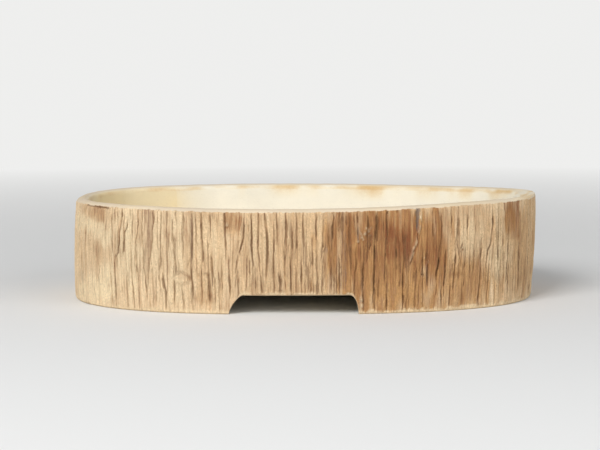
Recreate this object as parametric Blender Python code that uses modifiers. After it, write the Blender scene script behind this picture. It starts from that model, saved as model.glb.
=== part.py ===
"""Oval bonsai tray of fired clay, put together the way a hand builder makes it.

Two thick slabs, grooved like bark and scarfed at their ends, stand as an oval wall that runs
down to the table as a skirt. A floor slab is set inside the wall above an arched cut-out,
coils of clay lute the corners above and below it, and a plastic screen held by a wire clip
covers each drain hole.

Metres, +Z up. The origin lies on the table, under the middle of the oval. The front is
towards -Y.
"""

import bpy
import bmesh
import numpy as np
from math import ceil, pi, radians, sqrt, tan
from mathutils import Matrix

# The oval wall
LENGTH = 0.400
DEPTH = 0.288
HEIGHT = 0.085
OVAL_POWER = 2.45
WALL_THICKNESS = 0.013
BELLY_HEIGHT = 0.050
RIM_DRAW_IN = 0.0010
FOOT_DRAW_IN = 0.0016
RIM_ROUND = 0.0055
FOOT_ROUND = 0.0025

# The gap that luted or resting pieces keep
CLEARANCE = 0.0003

# The cut-out in the skirt, the same at the front and at the back
ARCH_LEFT = -0.0615
ARCH_RIGHT = 0.0430
ARCH_HEIGHT = 0.0160
ARCH_LEFT_SHOULDER = 0.0115
ARCH_RIGHT_SHOULDER = 0.0072
ARCH_LEFT_POWER = 1.4

# The two seams between the wall slabs, each placed on the outer face
BACK_SEAM_X = -0.137
FRONT_SEAM_X = 0.086
FRONT_SEAM_LEAN = radians(11)

# The main grooves of the bark, whose ends run out over a lead
GROOVE_WIDTH = 0.0026
GROOVE_DEPTH = 0.0014
GROOVE_LEAD = 0.006

# Where each groove starts and ends: the upper and the lower end's share of the way round, counted
# from the middle of the front to the right, and their share of the height. The back repeats them.
GROOVES = [
    (-0.243, -0.242, 0.95, 0.30),
    (-0.226, -0.227, 0.80, 0.10),
    (-0.200, -0.199, 0.92, 0.45),
    (-0.1386, -0.1452, 0.95, 0.06),
    (-0.1243, -0.1232, 0.95, 0.08),
    (-0.1113, -0.1162, 0.95, 0.28),
    (-0.0957, -0.0950, 0.80, 0.09),
    (-0.0817, -0.0810, 0.95, 0.09),
    (-0.0747, -0.0729, 0.95, 0.50),
    (-0.0668, -0.0682, 0.55, 0.10),
    (-0.0575, -0.0562, 0.95, 0.50),
    (-0.0433, -0.0495, 0.88, 0.40),
    (-0.0379, -0.0365, 0.95, 0.46),
    (-0.0289, -0.0276, 0.95, 0.32),
    (-0.0137, -0.0142, 0.95, 0.34),
    (-0.0057, -0.0100, 0.95, 0.26),
    (0.0083, 0.0083, 0.95, 0.38),
    (0.0195, 0.0185, 0.95, 0.27),
    (0.0269, 0.0244, 0.95, 0.27),
    (0.0418, 0.0415, 0.54, 0.09),
    (0.0516, 0.0485, 0.95, 0.16),
    (0.0580, 0.0566, 0.95, 0.33),
    (0.0698, 0.0680, 0.46, 0.08),
    (0.0885, 0.0883, 0.48, 0.22),
    (0.1024, 0.0991, 0.59, 0.07),
    (0.1106, 0.1083, 0.63, 0.22),
    (0.1323, 0.1308, 0.60, 0.05),
    (0.1434, 0.1365, 0.95, 0.37),
    (0.1489, 0.1488, 0.95, 0.42),
    (0.1607, 0.1612, 0.82, 0.22),
    (0.176, 0.175, 0.93, 0.12),
    (0.192, 0.193, 0.95, 0.35),
    (0.210, 0.208, 0.85, 0.08),
    (0.230, 0.231, 0.95, 0.40),
]
BACK_SHIFT = 0.512

# The floor slab
FLOOR_OVER_ARCH = 0.0015
FLOOR_THICKNESS = 0.010
DRAIN_SPACING = 0.170
DRAIN_DIAMETER = 0.028
TIE_HOLE_DIAMETER = 0.007
TIE_HOLE_SPACING_X = 0.096
TIE_HOLE_SPACING_Y = 0.124

# The luting coils
CORNER_COIL_ROUND = 0.010
FOOT_COIL_ROUND = 0.008
COIL_LIP = 0.0010
COIL_END_GAP = 0.008

# The wire clips
WIRE_DIAMETER = 0.0016
CLIP_BEND = 0.0030
CLIP_CURL = 0.0065
CLIP_TAIL = 0.010

# The drain screens, whose gaps let the clip's legs through with some play
SCREEN_STRAND = 0.0013
SCREEN_LAP = 0.0075
LEG_PLAY = 0.00105

# Shares that shape the sections, the seams and the clip's curls
ROUND_LIMIT = 0.45
SEAM_REACH = 3.0
BAR_SWING = 0.55
LEG_APPROACH = (0.7, 0.9)

# How finely the round shapes are divided
OVAL_POINTS = 84
COIL_POINTS = 32
ARC_STEPS = 4
OVAL_FINENESS = 64
DRAIN_POINTS = 28
TIE_HOLE_POINTS = 14
ROUTE_STEPS = 2
WIRE_RESOLUTION = 2
GROOVE_RESOLUTION = 1
SMOOTH_ANGLE = radians(35)

# Sizes and levels that follow from those above
RIM_RADIUS = min(RIM_ROUND, ROUND_LIMIT * WALL_THICKNESS)
FOOT_RADIUS = min(FOOT_ROUND, ROUND_LIMIT * WALL_THICKNESS)
GROOVE_RADIUS = (GROOVE_WIDTH ** 2 / 4 + GROOVE_DEPTH ** 2) / (2 * GROOVE_DEPTH)
FLOOR_UNDERSIDE = ARCH_HEIGHT + FLOOR_OVER_ARCH
FLOOR_TOP = FLOOR_UNDERSIDE + FLOOR_THICKNESS
FLOOR_INSET = WALL_THICKNESS + CLEARANCE
SCREEN_PITCH = SCREEN_STRAND + WIRE_DIAMETER + 2 * LEG_PLAY
SCREEN_GAPS = ceil((DRAIN_DIAMETER + 2 * SCREEN_LAP) / SCREEN_PITCH) // 2 * 2 + 1
SCREEN_LEVEL = FLOOR_TOP + CLEARANCE + SCREEN_STRAND / 2
WIRE_RADIUS = WIRE_DIAMETER / 2
LEG_REACH = (DRAIN_DIAMETER / 2 - WIRE_DIAMETER) // SCREEN_PITCH * SCREEN_PITCH
CLIP_TOP = SCREEN_LEVEL + SCREEN_STRAND / 2 + CLEARANCE + WIRE_RADIUS
CLIP_UNDER = FLOOR_UNDERSIDE - CLEARANCE - WIRE_RADIUS
CUTTER_REACH = LENGTH + DEPTH + HEIGHT

PART_COLLECTION = "bonsai_tray"
CUTTER_COLLECTION = "bonsai_tray_cutters"
SIDES = {"left": -1, "right": 1}


def empty_scene():
    """Remove whatever the file holds, and make the two collections."""
    for thing in list(bpy.data.objects):
        bpy.data.objects.remove(thing, do_unlink=True)
    for name in (PART_COLLECTION, CUTTER_COLLECTION):
        collection = bpy.data.collections.new(name)
        bpy.context.scene.collection.children.link(collection)


def make_material(name, colour, roughness, metallic):
    """A plain Principled material with the piece's own colour."""
    material = bpy.data.materials.new(name)
    material.use_nodes = True
    shader = material.node_tree.nodes["Principled BSDF"]
    shader.inputs["Base Color"].default_value = (*colour, 1.0)
    shader.inputs["Roughness"].default_value = roughness
    shader.inputs["Metallic"].default_value = metallic
    return material


def add_part(name, mesh, material):
    """Link a mesh as a named sub-part, shaded smooth up to its sharp edges."""
    mesh.name = name
    mesh.materials.clear()
    mesh.materials.append(material)
    mesh.shade_smooth()
    mesh.set_sharp_from_angle(angle=SMOOTH_ANGLE)
    part = bpy.data.objects.new(name, mesh)
    bpy.data.collections[PART_COLLECTION].objects.link(part)
    return part


def add_cutter(name, mesh):
    """Link a mesh as a hidden cutter."""
    cutter = bpy.data.objects.new(name, mesh)
    cutter.hide_render = True
    cutter.display_type = "WIRE"
    bpy.data.collections[CUTTER_COLLECTION].objects.link(cutter)
    return cutter


def cut(part, cutter):
    """Take a cutter's shape out of a part."""
    boolean = part.modifiers.new(cutter.name, "BOOLEAN")
    boolean.operation = "DIFFERENCE"
    boolean.solver = "EXACT"
    boolean.object = cutter


def new_curve(name, dimensions):
    """An empty curve object, to be made a mesh and removed again."""
    curve = bpy.data.curves.new(name, "CURVE")
    curve.dimensions = dimensions
    holder = bpy.data.objects.new(name, curve)
    bpy.data.collections[CUTTER_COLLECTION].objects.link(holder)
    return holder


def add_spline(curve, points, closed):
    """Add a run of straight steps through points of two or three coordinates."""
    spline = curve.splines.new("POLY")
    spline.points.add(len(points) - 1)
    for place, point in zip(spline.points, points):
        x, y, z = (*point, 0.0)[:3]
        place.co = (x, y, z, 1.0)
    spline.use_cyclic_u = closed


def curve_to_mesh(holder):
    """Turn a curve object into a welded mesh that faces outwards, and remove the curve."""
    bpy.context.view_layer.update()
    graph = bpy.context.evaluated_depsgraph_get()
    mesh = bpy.data.meshes.new_from_object(holder.evaluated_get(graph))
    mesh.transform(holder.matrix_world)
    shape = bmesh.new()
    shape.from_mesh(mesh)
    bmesh.ops.remove_doubles(shape, verts=shape.verts, dist=1e-6)
    bmesh.ops.recalc_face_normals(shape, faces=shape.faces)
    shape.to_mesh(mesh)
    shape.free()
    bpy.data.objects.remove(holder, do_unlink=True)
    return mesh


def plate(name, outlines, thickness):
    """A flat plate astride the XY plane: the first outline is its edge, the rest are holes."""
    holder = new_curve(name, "2D")
    holder.data.fill_mode = "BOTH"
    holder.data.extrude = thickness / 2
    for outline in outlines:
        add_spline(holder.data, outline, closed=True)
    return curve_to_mesh(holder)


def sweep(name, path, section, closed):
    """Carry a section along a level path; the section's first axis points out of the oval."""
    profile = new_curve(name + "_section", "2D")
    add_spline(profile.data, section, closed=True)
    holder = new_curve(name, "3D")
    holder.data.twist_mode = "Z_UP"
    holder.data.bevel_mode = "OBJECT"
    holder.data.bevel_object = profile
    holder.data.use_fill_caps = True
    add_spline(holder.data, path, closed)
    mesh = curve_to_mesh(holder)
    bpy.data.objects.remove(profile, do_unlink=True)
    return mesh


def oval_height(x):
    """How far the outer oval |x/a|^n + |y/b|^n = 1 stands from the X axis at x."""
    share = abs(2 * x / LENGTH) ** OVAL_POWER
    return DEPTH / 2 * (1 - share) ** (1 / OVAL_POWER)


def oval_at(shares, inset, turns):
    """Points at shares of the way along a stretch of the outer oval, moved in along its normal.

    The turns are the first and last angle of x = a cos^(2/n), y = b sin^(2/n), in degrees.
    """
    turn = np.radians(np.linspace(*turns, OVAL_FINENESS * OVAL_POINTS + 1))
    x = LENGTH / 2 * np.sign(np.cos(turn)) * np.abs(np.cos(turn)) ** (2 / OVAL_POWER)
    y = DEPTH / 2 * np.sign(np.sin(turn)) * np.abs(np.sin(turn)) ** (2 / OVAL_POWER)
    walked = np.concatenate([[0.0], np.cumsum(np.hypot(np.diff(x), np.diff(y)))])
    x = np.interp(shares * walked[-1], walked, x)
    y = np.interp(shares * walked[-1], walked, y)
    normal_x = np.sign(x) * np.abs(2 * x / LENGTH) ** (OVAL_POWER - 1) / LENGTH
    normal_y = np.sign(y) * np.abs(2 * y / DEPTH) ** (OVAL_POWER - 1) / DEPTH
    size = np.hypot(normal_x, normal_y)
    return np.stack([x - inset * normal_x / size, y - inset * normal_y / size], axis=1)


def whole_oval(inset):
    """Evenly spaced points on the whole oval, moved in by the inset."""
    return oval_at(np.arange(OVAL_POINTS) / OVAL_POINTS, inset, (-180, 180))


def circle_points(x, y, diameter, count):
    """Evenly spaced points on a circle."""
    turn = np.linspace(0.0, 2 * pi, count, endpoint=False)
    return np.stack([x + diameter / 2 * np.cos(turn), y + diameter / 2 * np.sin(turn)], axis=1)


def arc_points(x, y, radius_x, radius_y, start, end, power=2.0):
    """Points on a stretch of an ellipse, or of an oval of another power, angles in degrees."""
    turn = np.radians(np.linspace(start, end, ARC_STEPS + 1))
    across = np.sign(np.cos(turn)) * np.abs(np.cos(turn)) ** (2 / power)
    up = np.sign(np.sin(turn)) * np.abs(np.sin(turn)) ** (2 / power)
    return np.stack([x + radius_x * across, y + radius_y * up], axis=1)


def outer_offset(level):
    """How far the outside draws in from its widest level, by a parabola each way."""
    above = RIM_DRAW_IN * ((level - BELLY_HEIGHT) / (HEIGHT - BELLY_HEIGHT)) ** 2
    below = FOOT_DRAW_IN * ((BELLY_HEIGHT - level) / BELLY_HEIGHT) ** 2
    return -np.where(level > BELLY_HEIGHT, above, below)


def wall_section():
    """The wall's section, outer face near 0 and inner face at minus the thickness."""
    rim = HEIGHT - RIM_RADIUS
    levels = np.linspace(FOOT_RADIUS, rim, 2 * ARC_STEPS)
    outside = np.stack([outer_offset(levels), levels], axis=1)
    inside = RIM_RADIUS - WALL_THICKNESS
    inside_foot = FOOT_RADIUS - WALL_THICKNESS
    outer_foot = arc_points(outside[0, 0] - FOOT_RADIUS, FOOT_RADIUS, FOOT_RADIUS, FOOT_RADIUS, -90, 0)
    outer_rim = arc_points(outside[-1, 0] - RIM_RADIUS, rim, RIM_RADIUS, RIM_RADIUS, 0, 90)
    inner_rim = arc_points(inside, rim, RIM_RADIUS, RIM_RADIUS, 90, 180)
    inner_foot = arc_points(inside_foot, FOOT_RADIUS, FOOT_RADIUS, FOOT_RADIUS, 180, 270)
    return np.concatenate([outer_foot[:-1], outside, outer_rim[1:], inner_rim, inner_foot])


def fillet_section(radius):
    """A luting coil's section: a hollow quarter round with a thin lip at both ends."""
    far = radius + COIL_LIP
    hollow = arc_points(-far, far, radius, radius, 270, 360)
    return np.concatenate([[(0.0, 0.0)], [(-far, 0.0)], hollow, [(0.0, far)]])


def make_arch_cutter():
    """The arch's outline, a quarter oval each side of a straight top, carried front to back."""
    middle = ARCH_LEFT + ARCH_LEFT_SHOULDER
    left = arc_points(middle, 0.0, ARCH_LEFT_SHOULDER, ARCH_HEIGHT, 180, 90, ARCH_LEFT_POWER)
    right = arc_points(ARCH_RIGHT - ARCH_RIGHT_SHOULDER, 0.0, ARCH_RIGHT_SHOULDER, ARCH_HEIGHT, 90, 0)
    below = [(ARCH_RIGHT, -HEIGHT), (ARCH_LEFT, -HEIGHT)]
    mesh = plate("arch", [np.concatenate([left, right, below])], CUTTER_REACH)
    mesh.transform(Matrix.Rotation(pi / 2, 4, "X"))
    return add_cutter("arch_cutter", mesh)


def groove_route(upper, lower, top, bottom):
    """A groove's route up the wall: at depth between its leads, and clear of the wall at its ends."""
    lead = GROOVE_LEAD / (HEIGHT * (top - bottom))
    share = np.array([0.0, lead, 0.5, 1.0 - lead, 1.0])
    level = HEIGHT * (bottom + (top - bottom) * share)
    depth = np.array([-GROOVE_RADIUS, GROOVE_DEPTH, GROOVE_DEPTH, GROOVE_DEPTH, -GROOVE_RADIUS])
    inset = depth - GROOVE_RADIUS - outer_offset(level)
    place = oval_at(np.mod(lower + (upper - lower) * share, 1.0), inset, (-90, 270))
    return np.column_stack([place, level])


def make_bark_cutter():
    """Round strokes up the outside of the wall, at the front and again at the back."""
    holder = new_curve("bark", "3D")
    holder.data.bevel_depth = GROOVE_RADIUS
    holder.data.bevel_resolution = GROOVE_RESOLUTION
    holder.data.use_fill_caps = True
    for shift in (0.0, BACK_SHIFT):
        for upper, lower, top, bottom in GROOVES:
            route = groove_route(upper + shift, lower + shift, top, bottom)
            add_spline(holder.data, route, closed=False)
    return add_cutter("bark_cutter", curve_to_mesh(holder))


def make_side_cutter(name, side):
    """All that lies on one side of a line through both seams, which slants across the wall."""
    gap = side * CLEARANCE / sqrt(2)
    back = oval_height(BACK_SEAM_X)
    front = -oval_height(FRONT_SEAM_X)
    slant = SEAM_REACH * WALL_THICKNESS
    outline = [
        (BACK_SEAM_X - slant - gap, back + slant),
        (BACK_SEAM_X + slant - gap, back - slant),
        (FRONT_SEAM_X - slant - gap, front + slant),
        (FRONT_SEAM_X + slant - gap, front - slant),
        (side * CUTTER_REACH, -CUTTER_REACH),
        (side * CUTTER_REACH, CUTTER_REACH),
    ]
    mesh = plate(name, [outline], CUTTER_REACH)
    for vertex in mesh.vertices:
        if vertex.co.y < 0:
            vertex.co.x += tan(FRONT_SEAM_LEAN) * (vertex.co.z - HEIGHT / 2)
    return add_cutter(name, mesh)


def make_wall_slabs(clay):
    """The two wall slabs: one oval ring, grooved, arched below and parted at the seams."""
    ring = sweep("wall", whole_oval(0.0), wall_section(), closed=True)
    arch = make_arch_cutter()
    bark = make_bark_cutter()
    for name, side in SIDES.items():
        slab = add_part(name + "_wall_slab", ring.copy(), clay)
        cut(slab, bark)
        cut(slab, arch)
        cut(slab, make_side_cutter("beyond_" + name + "_slab", -side))


def make_floor_slab(clay):
    """The floor: an oval slab inside the wall, with drain holes and holes for tie wires."""
    outlines = [whole_oval(FLOOR_INSET)]
    for side_x in SIDES.values():
        outlines.append(circle_points(side_x * DRAIN_SPACING / 2, 0.0, DRAIN_DIAMETER, DRAIN_POINTS))
        for side_y in SIDES.values():
            x = side_x * TIE_HOLE_SPACING_X / 2
            y = side_y * TIE_HOLE_SPACING_Y / 2
            outlines.append(circle_points(x, y, TIE_HOLE_DIAMETER, TIE_HOLE_POINTS))
    slab = add_part("floor_slab", plate("floor", outlines, FLOOR_THICKNESS), clay)
    slab.location.z = FLOOR_UNDERSIDE + FLOOR_THICKNESS / 2


def make_corner_coil(clay):
    """The coil luted into the corner between the floor and the wall, all the way round."""
    mesh = sweep("corner", whole_oval(FLOOR_INSET), fillet_section(CORNER_COIL_ROUND), closed=True)
    coil = add_part("inner_corner_coil", mesh, clay)
    coil.location.z = FLOOR_TOP + CLEARANCE


def make_foot_coils(clay):
    """The coils that carry the floor inside the skirt, from one cut-out round to the other."""
    section = fillet_section(FOOT_COIL_ROUND) * (1.0, -1.0)
    ends = {"left": COIL_END_GAP - ARCH_LEFT, "right": COIL_END_GAP + ARCH_RIGHT}
    middles = {"left": 180, "right": 0}
    for name in SIDES:
        share = (2 * ends[name] / LENGTH) ** (OVAL_POWER / 2)
        half_turn = np.degrees(np.arccos(share))
        turns = (middles[name] - half_turn, middles[name] + half_turn)
        path = oval_at(np.linspace(0.0, 1.0, COIL_POINTS), FLOOR_INSET, turns)
        coil = add_part(name + "_foot_coil", sweep("foot", path, section, closed=False), clay)
        coil.location.z = FLOOR_UNDERSIDE - CLEARANCE


def make_screens(plastic):
    """A square net over each drain hole: a grid turned into strands by a Wireframe."""
    for name, side in SIDES.items():
        mesh = bpy.data.meshes.new("net")
        net = bmesh.new()
        half = SCREEN_GAPS * SCREEN_PITCH / 2
        bmesh.ops.create_grid(net, x_segments=SCREEN_GAPS, y_segments=SCREEN_GAPS, size=half)
        net.to_mesh(mesh)
        net.free()
        screen = add_part("drain_screen_" + name, mesh, plastic)
        strands = screen.modifiers.new("strands", "WIREFRAME")
        strands.thickness = SCREEN_STRAND
        strands.use_even_offset = True
        strands.use_boundary = True
        screen.location = (side * DRAIN_SPACING / 2, 0.0, SCREEN_LEVEL)


def clip_half_route():
    """Half of a clip's route, from the middle of its bar round a curl and down to its tail."""
    leg = LEG_REACH
    curl = CLIP_CURL
    slope = curl / sqrt(2)
    tail = DRAIN_DIAMETER / 2 + CLIP_TAIL
    level = [
        (0.0, 0.0),
        (leg / 2, -BAR_SWING * curl),
        (leg, -curl),
        (leg + slope, -slope),
        (leg + curl, 0.0),
        (leg + slope, slope),
        (leg, curl),
        (leg - slope, slope),
        (leg - LEG_APPROACH[0] * LEG_PLAY, LEG_APPROACH[1] * LEG_PLAY),
    ]
    falling = [
        (leg, 0.0, CLIP_TOP - CLIP_BEND),
        (leg, 0.0, (CLIP_TOP + CLIP_UNDER) / 2),
        (leg, 0.0, CLIP_UNDER + CLIP_BEND),
        (leg + CLIP_BEND, 0.0, CLIP_UNDER),
        (leg + 2 * CLIP_BEND, 0.0, CLIP_UNDER),
        (tail, 0.0, CLIP_UNDER),
    ]
    return np.array([(x, y, CLIP_TOP) for x, y in level] + falling)


def smooth_route(points):
    """Points on a smooth curve through the given ones: p(t) by the Catmull-Rom cubic."""
    before = np.concatenate([points[:1], points[:-2]])
    start = points[:-1]
    end = points[1:]
    after = np.concatenate([points[2:], points[-1:]])
    runs = []
    for share in np.arange(ROUTE_STEPS) / ROUTE_STEPS:
        linear = (end - before) * share
        square = (2 * before - 5 * start + 4 * end - after) * share ** 2
        cube = (3 * start - before - 3 * end + after) * share ** 3
        runs.append(start + (linear + square + cube) / 2)
    route = np.stack(runs, axis=1).reshape(-1, 3)
    return np.concatenate([route, points[-1:]])


def least_gap(route):
    """The least gap of the wire to itself, between points more than four diameters apart on it."""
    walked = np.concatenate([[0.0], np.cumsum(np.linalg.norm(np.diff(route, axis=0), axis=1))])
    apart = np.linalg.norm(route[:, None] - route[None], axis=2)
    along = np.abs(walked[:, None] - walked[None])
    return apart[along > 4 * WIRE_DIAMETER].min() - WIRE_DIAMETER


def make_clips(metal):
    """A wire clip for each screen: its legs pass the net and the hole, and fold out below."""
    half = clip_half_route()
    turned = half[:0:-1] * (-1.0, -1.0, 1.0)
    route = smooth_route(np.concatenate([turned, half]))
    print("least gap of a clip's wire to itself, mm:", round(1000 * least_gap(route), 2))
    for name, side in SIDES.items():
        holder = new_curve("clip", "3D")
        holder.data.bevel_depth = WIRE_RADIUS
        holder.data.bevel_resolution = WIRE_RESOLUTION
        holder.data.use_fill_caps = True
        add_spline(holder.data, route, closed=False)
        clip = add_part("screen_clip_" + name, curve_to_mesh(holder), metal)
        clip.location.x = side * DRAIN_SPACING / 2


def main():
    """Build the tray."""
    empty_scene()
    clay = make_material("fired_clay", (0.72, 0.56, 0.36), 0.85, 0.0)
    plastic = make_material("screen_plastic", (0.025, 0.027, 0.026), 0.55, 0.0)
    metal = make_material("clip_wire", (0.55, 0.54, 0.52), 0.4, 1.0)
    make_floor_slab(clay)
    make_corner_coil(clay)
    make_foot_coils(clay)
    make_screens(plastic)
    make_clips(metal)
    make_wall_slabs(clay)


main()
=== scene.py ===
"""Looks of a low oval bonsai pot: two slabs tooled like bark, a floor, coils, screens and clips.

Laid out as a Blender add-on and run as a script. Metres, +Z up, the front towards -Y, all in
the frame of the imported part.
"""

from math import pi, radians

import bpy
import numpy as np
from mathutils import Matrix, Vector


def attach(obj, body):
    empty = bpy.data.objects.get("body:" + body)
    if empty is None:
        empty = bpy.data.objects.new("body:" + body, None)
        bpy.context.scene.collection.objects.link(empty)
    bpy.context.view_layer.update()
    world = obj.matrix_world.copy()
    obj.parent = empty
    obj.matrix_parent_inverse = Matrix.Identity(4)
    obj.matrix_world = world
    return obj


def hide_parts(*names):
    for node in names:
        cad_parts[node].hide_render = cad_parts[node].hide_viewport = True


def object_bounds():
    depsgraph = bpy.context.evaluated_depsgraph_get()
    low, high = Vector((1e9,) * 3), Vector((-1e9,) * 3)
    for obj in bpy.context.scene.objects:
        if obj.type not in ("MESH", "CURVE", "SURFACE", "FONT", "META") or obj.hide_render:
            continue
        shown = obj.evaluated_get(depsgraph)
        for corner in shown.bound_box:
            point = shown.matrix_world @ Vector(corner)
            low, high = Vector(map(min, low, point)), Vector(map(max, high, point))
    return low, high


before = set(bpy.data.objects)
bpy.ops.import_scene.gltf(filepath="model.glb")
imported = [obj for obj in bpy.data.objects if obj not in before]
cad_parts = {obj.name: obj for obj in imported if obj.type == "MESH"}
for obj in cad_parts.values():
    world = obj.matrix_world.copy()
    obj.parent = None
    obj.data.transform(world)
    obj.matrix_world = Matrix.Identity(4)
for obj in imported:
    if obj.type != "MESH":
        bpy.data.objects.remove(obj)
CAD_LOW, CAD_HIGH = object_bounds()

bl_info = {
    "name": "Bark bonsai pot",
    "version": (1, 0, 0),
    "blender": (4, 5, 0),
    "location": "3D View > Sidebar > Pot",
    "description": "Builds the looks of an oval clay pot that is tooled like bark",
    "category": "Object",
}

# The photograph's frame and the camera that was fitted to the rim and the lower edge
PHOTO_WIDTH = 600
PHOTO_HEIGHT = 450
SENSOR_WIDTH = 36.0
LENS = 102.9
CAMERA_PLACE = (-0.0038, -1.5017, 0.1987)
CAMERA_AIM = (-0.0038, 0.0, 0.0589)
CAMERA_ROLL = radians(-0.26)
CAMERA_CLIP = (0.05, 30.0)

# The light: each lamp's place, size and power, then the world's colour and strength
LAMPS = {
    "key_light": ((-1.2, -2.1, 1.8), 1.4, 70.0),
    "fill_light": ((1.9, -1.6, 1.2), 2.0, 24.0),
}
LAMP_AIM = (0.0, 0.0, 0.05)
WORLD_COLOUR = (0.95, 0.97, 1.0, 1.0)
WORLD_STRENGTH = 0.30

# The stage: half width, where its floor starts and turns up, round of the turn, height, and its far glow
STAGE_SIDE = 6.0
STAGE_FRONT = -6.0
STAGE_TURN = 2.2
STAGE_ROUND = 0.9
STAGE_TOP = 4.5
STAGE_GLOW = (0.86, 0.86, 0.85, 1.0)

# How finely the oval, the bark map, the walls and the floor are divided
OVAL_STEPS = 20000
MAP_COLUMNS = 3400
MAP_ROWS = 190
FRONT_STEP = 0.00042
ROUND_STEP = 0.00074
CLOSEST_COLUMNS = 0.00003
FLOOR_STEP = 0.0018

# Height of a photo pixel on the front, as washes take it and as crumbs take it
PIXEL = 0.00088
CRUMB_PIXEL = 0.00085

# How far the front goes to either side, for random grooves and for fine columns
FRONT_END = 0.183
FINE_FRONT = 0.199

# The slabs' seams: x of the front and of the back one, the gap left in them, how far a scarf leans the wall
FRONT_SEAM = 0.086
BACK_SEAM = -0.137
SEAM_GAP = 0.00001
SCARF_REACH = 0.060

# The rim's round: width, height and how far its top falls inwards. At the right end it is sharp, and
# is painted pale as a highlight, round a middle and within a reach that are shares of the way round
ROUND_RIM = (0.0042, 0.0034, 0.0)
SHARP_RIM = (0.0012, 0.0012, 0.0022)
SHARP_END = (0.228, 0.050)
HIGHLIGHT_END = (0.225, 0.060)

# Other rounds of the wall's section, at its lower edges and at the inner edge of the rim
FOOT_ROUND = 0.0018
INNER_ROUND = 0.0050

# How far a coil's closed back reaches into the clay behind it
COIL_PRESS = 0.0006

# Where the wall's surfaces change: bark below the rim's top, bark and outside behind the outer face, start
# and width of the inside, and the width of the other changes
BARK_TOP = 0.0013
BARK_DEPTH = 0.0022
OUTSIDE_DEPTH = 0.0045
INSIDE_DEPTH = 0.0080
INSIDE_CHANGE = 0.0040
SOFT_EDGE = 0.0012

# The left end has few marks: its middle as a share of the way round and its reach in metres, for random
# grooves, for scratches and for the grain
FEW_GROOVES = (0.76, 0.03)
FEW_SCRATCHES = (0.762, 0.04)
CALM_GRAIN = (0.762, 0.036)

# How far a groove runs on past its points, how far it may reach sideways, and the taper of a scored line
GROOVE_END = 0.0014
GROOVE_REACH = 0.006
SCORE_TAPER = 0.004
PIT_DEPTH = 0.0016

# Chances of a wide, deep, plain or faint groove among the random ones
GROOVE_CHANCES = [0.04, 0.16, 0.50, 0.30]

# Layers of noise on the bark: strength, cell across, cell up, seed
FRAYS = [(0.30, 0.0024, 0.022, 13), (0.18, 0.007, 0.012, 14)]
PLATE_WANDER = [(0.0014, 0.014, 0.016, 20), (0.0006, 0.006, 0.006, 21)]
PLATES = [(0.00040, 0.0075, 0.060, 1), (0.00022, 0.0038, 0.030, 2)]
STRIAE = [(0.00014, 0.0019, 0.05, 4), (0.00010, 0.0012, 0.014, 5)]
UNEVEN = [(0.00050, 0.045, 0.05, 3), (0.00010, 0.0020, 0.0024, 6)]
BREAKS = [(0.28, 0.0030, 0.030, 8), (0.20, 0.009, 0.014, 9)]
CLOUDS = [(0.9, 0.026, 0.020, 12)]
FLAKE_SIDES = [(0.0005, 0.010, 0.0035, 71), (0.0003, 0.010, 0.0014, 72)]
RIDGE_WANDER = [(0.0005, 0.010, 0.0030, 42)]
RIDGE_CRUMBLE = [(0.9, 0.0016, 0.0022, 41)]

# Plates of lighter and darker clay: cell across, cell up, seed
TINT = (0.0060, 0.050, 15)

# How the bark's washes are cut along the grain: mask at which one starts and is full, reach of the fraying
WASH_EDGES = {
    "cream": (0.06, 1.0, 0.3),
    "stain_and_shade": (0.04, 1.0, 0.4),
    "rust": (0.04, 1.0, 0.4),
    "ash_and_shade": (0.10, 0.95, 0.3),
}

# Waves of the rim: share of the way round from the middle of the front, and height
RIM_WAVE = [
    (0.00, -0.0011),
    (0.025, -0.0009),
    (0.05, -0.0002),
    (0.074, 0.0009),
    (0.09, 0.0014),
    (0.133, 0.0027),
    (0.155, 0.0028),
    (0.20, 0.0030),
    (0.23, 0.0040),
    (0.25, 0.0038),
    (0.27, 0.0025),
    (0.30, 0.0008),
    (0.36, -0.0006),
    (0.41, -0.0007),
    (0.46, 0.0002),
    (0.50, 0.0005),
    (0.59, 0.0009),
    (0.64, 0.0008),
    (0.72, 0.0005),
    (0.80, 0.0005),
    (0.873, 0.0006),
    (0.913, -0.0006),
    (0.961, -0.0009),
]

# The line of the front seam, where the slabs' overlap has opened to a crack, in photo pixels
SEAM_LINE = [(418, 203), (418, 232), (416, 243), (413, 252), (410, 265), (407, 282), (404, 312)]
SEAM_RIDGE = [(421, 210), (420.2, 221), (418.2, 234), (414.2, 248), (411.4, 257), (409.4, 264)]

# The seam's crack: half width, depth and oxide
SEAM_CRACK = (0.0005, 0.0008, 0.35)

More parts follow.
